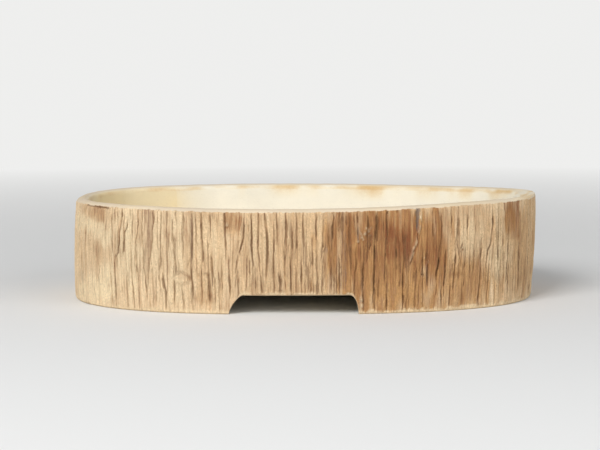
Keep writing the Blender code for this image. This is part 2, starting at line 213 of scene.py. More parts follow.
# Grooves of the front, each a run of photo pixels from top to bottom
WIDE_GROOVES = [
    [(190.4, 212), (191.9, 223), (191.5, 234), (191.9, 262)],
    [(208.4, 271), (209.6, 304)],
    [(285.3, 213.5), (286.4, 223), (285.7, 249)],
    [(342.9, 213.5), (342.5, 232)],
    [(377.6, 213.5), (376.4, 242)],
    [(428, 265), (427.6, 286)],
    [(458.9, 216), (459.3, 223), (458.5, 239)],
    [(481.5, 274), (480.4, 286), (479.6, 304)],
]
DEEP_GROOVES = [
    [(120.7, 208), (121.4, 216), (119.2, 233), (118.4, 252), (115.8, 256), (114.7, 265), (115.4, 305)],
    [(126, 222.6), (126.7, 226), (123.7, 231.6), (123.3, 248), (122.6, 252)],
    [(171.9, 234), (173, 245), (175.7, 268), (174.9, 274.5)],
    [(174, 281), (173.6, 305)],
    [(190.7, 266), (192.2, 290), (192.2, 305)],
    [(162, 278), (165, 290), (166, 307)],
    [(199.8, 213), (201.7, 223), (201.3, 232), (202.8, 262)],
    [(209.2, 213.5), (210.3, 225.6)],
    [(211, 257), (212.6, 278)],
    [(243.5, 225), (243.5, 238), (241, 247), (239, 253)],
    [(251, 214), (251.4, 245), (253.3, 266)],
    [(263.8, 214), (266.4, 230), (267.6, 244), (266, 281)],
    [(284.5, 253), (284.9, 279)],
    [(290.9, 254), (290.9, 292)],
    [(280.4, 275), (280.4, 296)],
    [(332.4, 213.5), (334.2, 218), (332, 232), (332, 242)],
    [(324, 244.4), (320.3, 252.7)],
    [(349.3, 225), (349.5, 243)],
    [(367.7, 214), (368.5, 230)],
    [(369.6, 243.6), (365.9, 251)],
    [(371.8, 243.2), (367.9, 252)],
    [(364, 260), (363.2, 271), (363.2, 285), (363.6, 305)],
    [(374.5, 245), (374.2, 268), (373.4, 298)],
    [(386.6, 293), (387, 309)],
    [(396, 248), (396.4, 259)],
    [(403.5, 272), (403.2, 309)],
    [(422.7, 256), (423, 274.5)],
    [(456.3, 248), (454.8, 275), (453.3, 286.5)],
    [(446, 253), (445, 275), (444.2, 286.5)],
    [(439.7, 256), (437, 273), (436.3, 280)],
    [(481.5, 247), (481, 260)],
    [(442, 286), (441.6, 305)],
    [(493.4, 213.5), (493.4, 225), (491.9, 233), (491.6, 244), (488.5, 250), (487.4, 259), (485.9, 268)],
    [(498.7, 206), (498.3, 262.5)],
]
PLAIN_GROOVES = [
    [(130, 252.7), (131.6, 271.5), (134, 303)],
    [(136.5, 209), (138, 221), (135.4, 242), (135.8, 257), (138, 283), (139, 304)],
    [(140.7, 210), (141.8, 238), (143.3, 260), (146, 285), (146.7, 296)],
    [(150.4, 210), (153.5, 220), (151.6, 232), (152.3, 239), (149.7, 260), (147, 283)],
    [(161, 227), (159.9, 240), (160.6, 257), (161, 268)],
    [(158.4, 275), (160.2, 284)],
    [(165, 243.6), (167, 260)],
    [(181, 213), (183.4, 217), (183.6, 225)],
    [(181.7, 237.6), (183.6, 245)],
    [(181, 286), (183.6, 307)],
    [(201.3, 268), (201.7, 296)],
    [(221.3, 266), (222, 292)],
    [(223.5, 214), (225, 226), (225.8, 262)],
    [(238.2, 256), (235.2, 273)],
    [(237.8, 275), (238.2, 294)],
    [(228.8, 275), (229.9, 294)],
    [(249, 265), (250, 274)],
    [(258.5, 214), (257.8, 249), (260, 265)],
    [(275.9, 215), (277.4, 233)],
    [(274, 239), (273.6, 264), (274.7, 292)],
    [(292.4, 230), (291.7, 250)],
    [(296.6, 213.5), (296.9, 249)],
    [(303.3, 219), (303.3, 248)],
    [(301.8, 264), (301.5, 287)],
    [(260.4, 275), (262, 293)],
    [(254.8, 274), (256, 290)],
    [(316.5, 213.5), (316.5, 241)],
    [(312, 249), (312.8, 267)],
    [(318, 277), (318, 293)],
    [(323, 275), (322, 288)],
    [(329, 225), (328.6, 248)],
    [(339, 213.5), (339.3, 232)],
    [(346.3, 215), (346.3, 226)],
    [(357.2, 215), (358, 223)],
    [(350.4, 247), (351.6, 265)],
    [(346.7, 248), (346, 256)],
    [(367.6, 243), (364.2, 250)],
    [(326.4, 245), (322.6, 252.5)],
    [(357.2, 257), (355.3, 275), (353.4, 292)],
    [(331.2, 268), (331.2, 290)],
    [(334, 272), (334.6, 290)],
    [(336.5, 275), (337, 291)],
    [(339.3, 262), (339.5, 290)],
    [(386.6, 213.5), (387.3, 244)],
    [(385.8, 253), (384.7, 279)],
    [(403.2, 236), (403.5, 242)],
    [(405.4, 240), (405.4, 265)],
    [(375.3, 298), (375.3, 305)],
    [(423, 281), (423.5, 294)],
    [(433.3, 222), (433.3, 238)],
    [(440.8, 215), (442, 225), (441.2, 239)],
    [(451.7, 216), (452, 226)],
    [(467.9, 216.6), (467.9, 241)],
    [(456.6, 243), (458, 248), (462, 253)],
    [(463, 242), (460.4, 248)],
    [(426.5, 253), (426, 258)],
    [(474.3, 248), (474.3, 258)],
    [(470.2, 265), (470.2, 274)],
    [(465.3, 259), (464.5, 269)],
    [(451, 286), (450.2, 305)],
    [(489.3, 275), (489.3, 283)],
    [(503.6, 232), (503.6, 245)],
    [(508.9, 223), (509.2, 239), (507, 268)],
    [(509.2, 270), (508.9, 283)],
    [(514.5, 274), (514, 281)],
]
FAINT_GROOVES = [
    [(111, 224), (113, 248)],
    [(110, 264), (112, 305)],
    [(113.5, 210), (114.7, 219)],
    [(127.5, 209), (130, 217)],
    [(131, 208), (132, 218)],
    [(126.3, 281), (127.8, 299)],
    [(160.2, 211), (161.4, 219)],
    [(165.5, 211), (165.9, 222)],
    [(175, 213.5), (175.7, 222)],
    [(152.3, 279), (153, 296)],
    [(156, 286), (156, 304)],
    [(215, 289), (215, 305)],
    [(219, 289), (219, 304)],
    [(296, 268), (296, 287)],
    [(306.7, 248), (306.7, 265)],
    [(316.5, 245), (316.7, 275)],
    [(308.5, 266), (308.6, 286)],
    [(325, 262), (323.7, 280)],
    [(379, 280), (378.7, 296)],
    [(416.7, 271), (416, 290)],
    [(415.2, 283), (415.2, 308)],
    [(408.4, 281), (408.8, 298)],
    [(519, 232), (518.3, 242)],
    [(495.7, 286), (495.7, 304)],
    [(499, 271), (499, 281)],
    [(504.7, 271), (504.4, 283)],
]

# How a groove of each kind is cut: half width, depth, and how dark its oxide is
GROOVE_KINDS = [
    (WIDE_GROOVES, 0.00105, 0.0014, 0.72),
    (DEEP_GROOVES, 0.00076, 0.0014, 0.88),
    (PLAIN_GROOVES, 0.00067, 0.0011, 0.72),
    (FAINT_GROOVES, 0.00060, 0.0007, 0.45),
]

# The faint line that carries each of them on past both ends
TAIL_GROOVE = (0.00048, 0.0006, 0.62)

# Main grooves of the ends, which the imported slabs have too, and the share by which the back repeats all
# of them: upper and lower end as shares of the way round from the front's middle, then of the height
END_GROOVES = [
    (-0.243, -0.242, 0.95, 0.30),
    (-0.226, -0.227, 0.80, 0.10),
    (-0.200, -0.199, 0.92, 0.45),
    (0.176, 0.175, 0.93, 0.12),
    (0.192, 0.193, 0.95, 0.35),
    (0.210, 0.208, 0.85, 0.08),
    (0.230, 0.231, 0.95, 0.40),
]
FRONT_GROOVES = [
    (-0.1386, -0.1452, 0.95, 0.06),
    (-0.1243, -0.1232, 0.95, 0.08),
    (-0.1113, -0.1162, 0.95, 0.28),
    (-0.0957, -0.0950, 0.80, 0.09),
    (-0.0817, -0.0810, 0.95, 0.09),
    (-0.0747, -0.0729, 0.95, 0.50),
    (-0.0668, -0.0682, 0.55, 0.10),
    (-0.0575, -0.0562, 0.95, 0.50),
    (-0.0433, -0.0495, 0.88, 0.40),
    (-0.0379, -0.0365, 0.95, 0.46),
    (-0.0289, -0.0276, 0.95, 0.32),
    (-0.0137, -0.0142, 0.95, 0.34),
    (-0.0057, -0.0100, 0.95, 0.26),
    (0.0083, 0.0083, 0.95, 0.38),
    (0.0195, 0.0185, 0.95, 0.27),
    (0.0269, 0.0244, 0.95, 0.27),
    (0.0418, 0.0415, 0.54, 0.09),
    (0.0516, 0.0485, 0.95, 0.16),
    (0.0580, 0.0566, 0.95, 0.33),
    (0.0698, 0.0680, 0.46, 0.08),
    (0.0885, 0.0883, 0.48, 0.22),
    (0.1024, 0.0991, 0.59, 0.07),
    (0.1106, 0.1083, 0.63, 0.22),
    (0.1323, 0.1308, 0.60, 0.05),
    (0.1434, 0.1365, 0.95, 0.37),
    (0.1489, 0.1488, 0.95, 0.42),
    (0.1607, 0.1612, 0.82, 0.22),
]
BACK_SHIFT = 0.512
MAIN_GROOVE = (0.00095, 0.0014, 0.78)

# Washes on the front: photo pixel of the middle, reach across and up in pixels, strength
WARMS = [
    (262, 262, 46, 66, 0.30),
    (312, 262, 44, 66, 0.42),
    (392, 262, 80, 72, 0.95),
    (462, 282, 42, 34, 0.84),
    (470, 240, 40, 44, 0.33),
    (524, 250, 26, 54, 0.60),
    (79, 248, 8, 15, 0.18),
    (88, 251, 10, 14, 0.13),
    (97, 254, 10, 12, 0.12),
    (106, 257, 9, 9, 0.14),
    (94, 212, 17, 12, 0.34),
    (208, 250, 24, 60, 0.30),
    (512, 222, 9, 17, 0.95),
    (232, 224, 12, 16, 0.55),
    (206, 292, 16, 14, 0.35),
]
STAINS = [
    (233, 221, 10, 12, 0.55),
    (239.6, 222, 3.0, 10, 0.70),
    (226.6, 224, 2.0, 14, 0.55),
    (338, 252, 11, 44, 0.42),
    (360, 227, 20, 18, 0.62),
    (360, 273, 15, 30, 0.55),
    (343.5, 276, 4.5, 15, 0.55),
    (396, 224, 30, 18, 0.78),
    (398, 262, 28, 22, 0.42),
    (433, 238, 20, 30, 0.58),
    (432, 276, 14, 18, 0.45),
    (512, 222, 7.0, 14, 0.50),
    (203, 298, 12, 6, 0.40),
    (457, 274, 11, 3.0, 0.42),
    (467, 288, 12, 15, 0.30),
    (152, 217, 2.5, 9, 0.50),
    (96, 214, 15, 7.5, 0.34),
    (163, 268, 8, 9, 0.20),
    (183, 277, 7, 3.0, 0.28),
    (189.4, 278.5, 2.4, 3.6, 0.60),
    (162, 279, 3.0, 3.0, 0.40),
    (206, 274, 6, 1.6, 0.42),
    (256, 288, 16, 7, 0.32),
    (300, 288, 26, 6, 0.25),
]
RUSTS = [
    (398, 242, 25, 22, 0.64),
    (403, 245, 12, 12, 0.74),
    (374, 248, 16, 16, 0.34),
    (424, 256, 18, 16, 0.34),
    (516, 217, 3.0, 14, 0.30),
]
ASHES = [
    (358, 231, 1.8, 10, 0.60),
    (343.5, 276, 3.5, 14, 0.45),
    (191.5, 236, 1.8, 28, 0.40),
    (326, 250, 2.2, 4, 0.50),
    (427, 276, 2.0, 10, 0.35),
    (81.7, 276, 1.6, 6, 0.55),
    (343, 224, 2.2, 10, 0.40),
]
CREAMS = [
    (80, 222, 8, 9, 0.80),
    (88, 225, 9, 9, 0.85),
    (97, 230, 9, 9, 0.85),
    (106, 237, 8, 9, 0.75),
    (108, 280, 12, 16, 0.85),
    (97, 288, 15, 14, 0.85),
    (86, 294, 12, 12, 0.75),
    (128, 255, 16, 46, 0.75),
    (170, 255, 24, 44, 0.30),
    (361.5, 303, 2.2, 9, 0.70),
    (205, 240, 14, 22, 0.30),
    (499, 258, 13, 20, 0.42),
    (470, 238, 14, 24, 0.46),
    (424, 271, 3, 8, 0.45),
]

FRONT_WASHES = {"warm": WARMS, "stain_and_shade": STAINS, "rust": RUSTS, "ash_and_shade": ASHES, "cream": CREAMS}

# Places where a flake has come off: depth, stain and grey, then its left and right side in photo pixels
FLAKES = [
    (
        (0.0013, 0.0, 1.0),
        [(415.8, 203), (416.2, 220), (417.0, 235)],
        [(420.9, 203), (420.2, 214), (418.7, 225), (417.3, 235)],
    ),
    (
        (0.0007, 0.58, 0.30),
        [(142.6, 206), (143.6, 240), (145.2, 284)],
        [(153.0, 206), (152.6, 238), (148.6, 262), (146.8, 284)],
    ),
    ((0.0004, 0.46, 0.0), [(224.0, 207), (225.0, 236)], [(241.8, 207), (242.2, 228), (239.5, 238)]),
    ((0.0003, 0.62, 0.0), [(504.0, 198), (507.0, 244)], [(519.6, 198), (519.6, 244)]),
    ((0.0005, 0.35, 0.30), [(341.0, 262), (341.0, 294)], [(347.0, 262), (346.6, 294)]),
    ((0.0006, 0.25, 0.30), [(189.8, 206), (190.2, 232)], [(193.2, 206), (192.8, 232)]),
]

# Lines scored sideways on the front, in photo pixels: their run, half height, depth and oxide
SIDE_LINES = [
    ([(83.6, 204.6), (96, 206.8), (109.5, 208.6)], 0.0008, 0.0014, 0.85),
    ([(199, 274), (206, 273.4), (213, 274)], 0.0007, 0.0004, 0.20),
    ([(447, 275), (456, 274.2), (467, 275)], 0.0009, 0.0003, 0.20),
]

# A smooth knot among the grooves: photo pixel of its middle, reach across and up in pixels, height
KNOT = (181.6, 278.4, 7.6, 5.4, 0.0007)

# The lines over and under the knot, given as the lines above are
OVER_KNOT = [
    (170.5, 281),
    (173, 276.6),
    (176.5, 273.4),
    (181, 272),
    (185.5, 273.8),
    (189, 277.6),
    (193.5, 283),
]
UNDER_KNOT = [(172, 282.5), (177, 284.4), (183, 285.2), (188, 283.6), (193, 280)]
KNOT_LINES = [(OVER_KNOT, 0.0016, 0.0008, 0.50), (UNDER_KNOT, 0.0011, 0.0005, 0.16)]

# Crumbs of clay left on the front, and pits in it, in photo pixels with their reach
CRUMBS = [
    (226.5, 225, 1.7),
    (361.7, 237.2, 1.5),
    (358.0, 241.4, 1.3),
    (368.6, 231.0, 1.6),
    (361.0, 234.6, 1.1),
    (366.4, 228.6, 1.0),
    (365.2, 233.8, 1.7),
    (369.8, 235.6, 1.3),
    (371.0, 228.6, 1.0),
    (363.2, 239.8, 1.0),
    (360.0, 231.6, 0.9),
    (372.2, 238.4, 0.9),
    (461.8, 247.6, 1.2),
    (427.6, 262.0, 1.3),
    (424.8, 257.0, 1.0),
    (361.4, 300.0, 1.6),
    (362.0, 306.0, 1.4),
]
PITS = [(198, 276, 1.2), (422.7, 274.5, 1.6), (388.1, 212.6, 1.0), (398, 211.6, 1.0), (280.4, 291, 1.5)]


def length(name, description, default, low=0.0):
    """A size in metres that a user may change."""
    return bpy.props.FloatProperty(
        name=name, description=description, default=default, min=low, precision=4, unit="LENGTH"
    )


def number(name, description, default, low, high):
    """A plain number that a user may change."""
    return bpy.props.FloatProperty(name=name, description=description, default=default, min=low, max=high)


def colour(name, description, default):
    """A colour that a user may change."""
    return bpy.props.FloatVectorProperty(
        name=name, description=description, default=default, size=3, min=0.0, max=1.0, subtype="COLOR"
    )


class PotSizes(bpy.types.PropertyGroup):
    """The sizes of the pot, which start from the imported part."""

    oval_length: length("Length", "Outside length of the oval", round(CAD_HIGH[0] - CAD_LOW[0], 3))
    oval_depth: length("Depth", "Outside depth of the oval", round(CAD_HIGH[1] - CAD_LOW[1], 3))
    height: length("Height", "Height of the rim", round(CAD_HIGH[2] - CAD_LOW[2], 3))
    oval_power: number("Oval power", "2 is an ellipse, more is squarer", 2.45, 2.0, 6.0)
    wall: length("Wall", "Thickness of the wall slabs", 0.013)
    belly: length("Belly", "Level at which the wall is widest", 0.050)
    rim_draw: length("Rim draw", "How far the wall draws in to the rim", 0.0010)
    foot_draw: length("Foot draw", "How far the wall draws in to the foot", 0.0016)
    lean: length("Lean", "How far the rim stands to the right of the foot", 0.0026)
    arch_left: length("Arch left", "Left end of the cut-out", -0.0615, -1.0)
    arch_right: length("Arch right", "Right end of the cut-out", 0.0430)
    arch_height: length("Arch height", "Height of the cut-out", 0.0154)
    arch_left_shoulder: length("Left shoulder", "Width of the cut-out's left curve", 0.0115)
    arch_right_shoulder: length("Right shoulder", "Width of the cut-out's right curve", 0.0072)
    arch_left_power: number("Left power", "2 is round, less is flatter", 1.4, 1.0, 4.0)
    floor_top: length("Floor", "Level of the floor", 0.0275)
    floor_thickness: length("Floor thickness", "Thickness of the floor slab", 0.010)
    drain_spacing: length("Drain spacing", "Distance between the drain holes", 0.170)
    drain_diameter: length("Drain diameter", "Width of a drain hole", 0.028)
    tie_diameter: length("Tie hole", "Width of a hole for a tie wire", 0.007)
    tie_spacing_x: length("Tie spacing along", "Distance between tie holes along the oval", 0.096)
    tie_spacing_y: length("Tie spacing across", "Distance between tie holes across the oval", 0.124)
    corner_coil: length("Corner coil", "Round of the coil on the floor", 0.011)
    foot_coil: length("Foot coil", "Round of the coils under the floor", 0.009)
    screen_pitch: length("Screen pitch", "Distance between strands of the net", 0.005)
    screen_strand: length("Screen strand", "Thickness of a strand of the net", 0.0013)
    groove_scale: number("Groove depth", "Scales the depth of all tooling", 1.0, 0.0, 2.0)


class PotColours(bpy.types.PropertyGroup):
    """The colours of the clay, its oxides, the net, the wire and the stage."""

    straw: colour("Straw", "Bark clay where it is plain", (0.81, 0.615, 0.39))
    tan: colour("Tan", "Bark clay in its darker streaks", (0.60, 0.405, 0.22))
    warm: colour("Warm", "Bark clay under a thin warm wash", (0.575, 0.325, 0.125))
    # Cream is pale bare clay, and it also paints the highlights on the lips beside grooves
    cream: colour("Cream", "Pale bare clay on the bark", (0.86, 0.69, 0.44))
    # The stain colour is a brown oxide wash, and it also paints the shadow under crumbs and the shade beside
    # the seam's ridge
    stain_and_shade: colour("Stain", "Brown oxide wash", (0.285, 0.115, 0.040))
    rust: colour("Rust", "Red-brown oxide wash", (0.205, 0.060, 0.022))
    # Ash is grey oxide in some grooves, and it also paints the shade along the inner edge of the front rim's
    # crown
    ash_and_shade: colour("Ash", "Grey oxide in some grooves", (0.19, 0.155, 0.130))
    groove: colour("Groove", "Oxide in the grooves", (0.155, 0.080, 0.036))
    rim: colour("Rim", "Smoothed clay of the rim", (0.70, 0.585, 0.44))
    inner: colour("Inside", "Smoothed clay of the inside", (0.845, 0.795, 0.675))
    inner_tan: colour("Inside tan", "Darker clay of the inside", (0.82, 0.62, 0.275))
    net: colour("Net", "Plastic of the drain screens", (0.022, 0.023, 0.024))
    wire: colour("Wire", "Metal of the clips", (0.62, 0.61, 0.59))
    floor: colour("Stage", "Floor and backdrop of the picture", (0.78, 0.78, 0.77))


def smooth_step(share):
    """3t^2 - 2t^3, with t held between 0 and 1."""
    t = np.clip(share, 0.0, 1.0)
    return t * t * (3.0 - 2.0 * t)


def raise_to(field, place, values):
    """Lift a field to some values where it lies below them."""
    field[place] = np.maximum(field[place], values)


def soft_noise(across, up, girth, cell_across, cell_up, seed, steep=1.0):
    """Values from -1 to 1 on a random lattice joined by smooth steps, repeating round the girth.

    A steep noise changes only near the middle between two columns of the lattice.
    """
    cells = max(3, int(round(girth / cell_across)))
    layers = 64
    lattice = np.random.default_rng(seed).uniform(-1.0, 1.0, (layers, cells))
    u = np.mod(across, girth) / girth * cells
    v = up / cell_up + layers / 2
    column = np.floor(u).astype(int)
    row = np.floor(v).astype(int)
    share_u = smooth_step((u - column - 0.5) * steep + 0.5)
    share_v = smooth_step(v - row)
    left = column % cells
    right = (column + 1) % cells
    low = row % layers
    high = (row + 1) % layers
    below = lattice[low, left] * (1 - share_u) + lattice[low, right] * share_u
    above = lattice[high, left] * (1 - share_u) + lattice[high, right] * share_u
    return below * (1 - share_v) + above * share_v


class OvalPath:
    """The outer oval |x/a|^n + |y/b|^n = 1, walked from the middle of the front towards +X."""

    def __init__(self, sizes):
        self.half_length = sizes.oval_length / 2
        self.half_depth = sizes.oval_depth / 2
        self.power = sizes.oval_power
        turn = np.linspace(-pi / 2, 3 * pi / 2, OVAL_STEPS + 1)
        across = np.cos(turn)
        back = np.sin(turn)
        self.x = self.half_length * np.sign(across) * np.abs(across) ** (2 / self.power)
        self.y = self.half_depth * np.sign(back) * np.abs(back) ** (2 / self.power)
        steps = np.hypot(np.diff(self.x), np.diff(self.y))
        self.walked = np.concatenate([[0.0], np.cumsum(steps)])
        self.girth = self.walked[-1]

    def at(self, walked):
        """x, y and the outward normal at a path length, which repeats every girth."""
        place = np.mod(walked, self.girth)
        x = np.interp(place, self.walked, self.x)
        y = np.interp(place, self.walked, self.y)
        normal_x = np.sign(x) * np.abs(x / self.half_length) ** (self.power - 1) / self.half_length
        normal_y = np.sign(y) * np.abs(y / self.half_depth) ** (self.power - 1) / self.half_depth
        size = np.hypot(normal_x, normal_y)
        return x, y, normal_x / size, normal_y / size

    def front_walk(self, x):
        """Path length of the front at x, less than nothing to the left of the middle."""
        quarter = OVAL_STEPS // 4
        walk = np.interp(np.abs(x), self.x[: quarter + 1], self.walked[: quarter + 1])
        return np.sign(x) * walk

    def front_y(self, x):
        """y of the front at x."""
        share = np.clip(np.abs(x / self.half_length), 0.0, 1.0) ** self.power
        return -self.half_depth * (1.0 - share) ** (1 / self.power)

    def patch(self, walked, middle, reach):
        """exp(-(d / reach)^4), with d from a middle, both as shares of the way round."""
        return np.exp(-(((np.mod(walked / self.girth, 1.0) - middle) / reach) ** 4))

    def ripple(self, walked, cell, seed):
        """Smooth random values along the path alone."""
        return soft_noise(walked, 0 * walked, self.girth, cell, 1.0, seed)

    def mottle(self, walked, level, cell_across, cell_up, seed):
        """Smooth random values over the wall."""
        return soft_noise(walked, level, self.girth, cell_across, cell_up, seed)


def camera_turn():
    """The camera's right, up and back directions as the columns of a matrix."""
    look = Vector(CAMERA_AIM) - Vector(CAMERA_PLACE)
    return look.to_track_quat("-Z", "Y").to_matrix() @ Matrix.Rotation(CAMERA_ROLL, 3, "Z")


def on_front(oval, pixels):
    """Path length and level where the lines of sight through photo pixels meet the front."""
    pixels = np.asarray(pixels, float)
    turn = np.array(camera_turn())
    focal = LENS / SENSOR_WIDTH * PHOTO_WIDTH
    right = pixels[:, 0] - PHOTO_WIDTH / 2
    up = PHOTO_HEIGHT / 2 - pixels[:, 1]
    sight = right[:, None] * turn[:, 0] + up[:, None] * turn[:, 1] - focal * turn[:, 2]
    reach = (-oval.half_depth - CAMERA_PLACE[1]) / sight[:, 1]
    side = 0.995 * oval.half_length
    for _ in range(30):
        x = np.clip(CAMERA_PLACE[0] + reach * sight[:, 0], -side, side)
        aim = (oval.front_y(x) - CAMERA_PLACE[1]) / sight[:, 1]
        reach = 0.5 * reach + 0.5 * aim
    level = CAMERA_PLACE[2] + reach * sight[:, 2]
    return oval.front_walk(x), level


class BarkMap:
    """Relief and colour masks of the bark over the unrolled wall: path length across, level up."""

    MASKS = ("groove", "oxide", "warm", "stain_and_shade", "rust", "ash_and_shade", "cream", "fibre")

    def __init__(self, oval, height):
        self.oval = oval
        self.girth = oval.girth
        self.across = np.arange(MAP_COLUMNS) * self.girth / MAP_COLUMNS
        self.low = -0.004
        self.high = height + 0.006
        self.up = np.linspace(self.low, self.high, MAP_ROWS)
        self.grid_across, self.grid_up = np.meshgrid(self.across, self.up)
        self.fields = {name: np.zeros(self.grid_up.shape) for name in self.MASKS}
        self.cut = np.zeros(self.grid_up.shape)
        self.lips = np.zeros(self.grid_up.shape)
        self.lumps = np.zeros(self.grid_up.shape)
        self.frays = self.layers(FRAYS)

    def layers(self, rows, first_seed=0):
        """The sum of some layers of noise over the whole map, each times its strength."""
        total = np.zeros(self.grid_up.shape)
        for strength, cell_across, cell_up, seed in rows:
            noise = self.oval.mottle(self.grid_across, self.grid_up, cell_across, cell_up, first_seed + seed)
            total += strength * noise
        return total

    def plates(self, cell_across, cell_up, seed):
        """Flat-topped random plates with steep edges that wander up the wall."""
        across = self.grid_across + self.layers(PLATE_WANDER, seed)
        return soft_noise(across, self.grid_up, self.girth, cell_across, cell_up, seed, steep=3.5)

    def offset(self, walked, columns):
        """Signed way along the path from a place to some columns, the short way round."""
        raw = self.across[columns] - walked
        return np.mod(raw + self.girth / 2, self.girth) - self.girth / 2

    def from_run(self, walked, level, columns):
        """Signed way to some columns, at every level, from a run of points given downwards."""
        return self.offset(np.interp(self.up, level[::-1], walked[::-1])[:, None], columns)

    def window(self, walked_low, walked_high):
        """The columns between two path lengths."""
        step = self.girth / MAP_COLUMNS
        first = int(np.floor(walked_low / step))
        last = int(np.ceil(walked_high / step))
        return np.arange(first, last + 1) % MAP_COLUMNS

    def at_left_end(self, walked, end):
        """Whether a path length lies at the left end, given by its middle and reach."""
        return abs(walked - end[0] * self.girth) < end[1]

    def cut_in(self, place, mask, dark, hollow):
        """Put a groove's oxide, mask and hollow into the map."""
        deeper = mask > self.fields["groove"][place]
        self.fields["oxide"][place] = np.where(deeper, dark, self.fields["oxide"][place])
        raise_to(self.fields["groove"], place, mask)
        raise_to(self.cut, place, hollow)

    def carve(self, walked, levels, half_width, depth, dark, seed):
        """A groove along a run of points, drawn out to thin ends.

        The mask falls straight from 1 at its middle through 1/2 at its edge to nothing at two half
        widths. The hollow falls as a smooth step, and a low lip stands beside it, painted pale in the
        cream mask as a highlight.
        """
        order = np.argsort(levels)
        levels = np.array(levels, float)[order]
        walked = np.asarray(walked)[order]
        levels[0] -= GROOVE_END
        levels[-1] += GROOVE_END
        rows = np.nonzero((self.up > levels[0]) & (self.up < levels[-1]))[0]
        if len(rows) < 2:
            return
        up = self.up[rows]
        columns = self.window(walked.min() - GROOVE_REACH, walked.max() + GROOVE_REACH)

        def along(cell, shift):
            """Random values up the groove."""
            return soft_noise(0 * up, up, 1.0, 0.5, cell, seed + shift)

        wobble = 0.00030 * along(0.008, 1) + 0.00022 * along(0.0017, 3)
        swell = (1.0 + 0.30 * along(0.007, 2) + 0.16 * along(0.0017, 5))[:, None]
        pools = np.clip(0.86 + 0.30 * along(0.006, 6), 0.0, 1.0)[:, None]
        ends = np.random.default_rng(seed).uniform(0.0015, 0.0065, 2)
        near_end = np.minimum((up - levels[0]) / ends[0], (levels[-1] - up) / ends[1])
        taper = np.clip(near_end, 0.0, 1.0)[:, None] ** 0.7
        width = half_width * swell * (0.45 + 0.55 * taper)
        middle = np.interp(up, levels, walked) + wobble
        away = np.abs(self.offset(middle[:, None], columns)) / width
        mask = np.clip(1.0 - 0.5 * away, 0.0, 1.0) * pools * (0.4 + 0.6 * taper)
        hollow = (1.0 - smooth_step(away - 0.3)) * taper
        lip = np.exp(-(((away - 2.2) / 0.8) ** 2)) * taper
        place = np.ix_(rows, columns)
        self.cut_in(place, mask, dark, depth * swell * hollow)
        raise_to(self.lips, place, 0.22 * depth * lip)
        # Painted highlight: the lips on both sides of the groove are made pale in the cream mask
        lip_highlight = 0.45 * min(1.0, depth / 0.0012) * lip * pools
        raise_to(self.fields["cream"], place, lip_highlight * (1.0 - 0.7 * self.fields["warm"][place]))

    def score(self, run, half_height, depth, dark):
        """A line scored sideways through a run of photo pixels, with the section of a groove."""
        walked, levels = on_front(self.oval, run)
        order = np.argsort(walked)
        walked = walked[order]
        levels = levels[order]
        columns = self.window(walked[0], walked[-1])
        along = walked[0] + self.offset(walked[0], columns)
        near_end = np.minimum(along - walked[0], walked[-1] - along) / SCORE_TAPER
        taper = np.clip(near_end, 0.0, 1.0)[None, :] ** 0.7
        away = np.abs(self.up[:, None] - np.interp(along, walked, levels)[None, :]) / half_height
        mask = np.clip(1.0 - 0.5 * away, 0.0, 1.0) * taper
        hollow = depth * (1.0 - smooth_step(away / 1.5)) * taper
        self.cut_in(np.s_[:, columns], mask, dark, hollow)

    def dab(self, field, walked, level, reach_across, reach_up, strength, ragged=False):
        """A soft oval patch, full to half its reach and gone at 1.25 of it.

        A ragged one is frayed along the grain.
        """
        columns = self.window(walked - 1.7 * reach_across, walked + 1.7 * reach_across)
        away = np.hypot(self.offset(walked, columns) / reach_across, (self.up[:, None] - level) / reach_up)
        if ragged:
            away = away + self.frays[:, columns]
        raise_to(field, np.s_[:, columns], strength * (1.0 - smooth_step((away - 0.5) / 0.75)))

    def dabs(self, name, pixels):
        """Soft patches of one mask, each given in photo pixels of the front."""
        table = np.array(pixels)
        walked, level = on_front(self.oval, table[:, :2])
        side, _ = on_front(self.oval, table[:, :2] + np.array([1.0, 0.0]))
        reach_across = table[:, 2] * np.clip(np.abs(side - walked), 0.0006, 0.0030)
        reach_up = table[:, 3] * PIXEL
        for patch in zip(walked, level, reach_across, reach_up, table[:, 4]):
            self.dab(self.fields[name], *patch, ragged=True)

    def read(self, field, across, up):
        """A field between its grid points, by the four nearest of them."""
        u = np.mod(across, self.girth) / self.girth * MAP_COLUMNS
        v = np.clip((up - self.low) / (self.high - self.low) * (MAP_ROWS - 1), 0.0, MAP_ROWS - 1.001)
        column = np.floor(u).astype(int)
        row = np.floor(v).astype(int)
        share_u = u - column
        share_v = v - row
        left = column % MAP_COLUMNS
        right = (column + 1) % MAP_COLUMNS
        below = field[row, left] * (1 - share_u) + field[row, right] * share_u
        above = field[row + 1, left] * (1 - share_u) + field[row + 1, right] * share_u
        return below * (1 - share_v) + above * share_v


def carve_front(bark):
    """The grooves, scored lines, flakes, opened seam, crumbs and pits that the front shows."""
    seed = 100
    for runs, half_width, depth, dark in GROOVE_KINDS:
        for run in runs:
            walked, level = on_front(bark.oval, run)
            bark.carve(walked, level, half_width, depth, dark, seed)
            tails = np.random.default_rng(seed).uniform(0.002, 0.016, 2)
            level[[0, -1]] += tails * [1.0, -1.0]
            bark.carve(walked, level, *TAIL_GROOVE, seed + 2)
            seed += 4
    for line in SIDE_LINES:
        bark.score(*line)
    lift_flakes(bark)
    open_seam(bark)
    for pixels, put in ((CRUMBS, put_crumb), (PITS, put_pit)):
        table = np.array(pixels)
        walked, level = on_front(bark.oval, table[:, :2])
        for mark in zip(walked, level, table[:, 2] * CRUMB_PIXEL):
            put(bark, *mark)


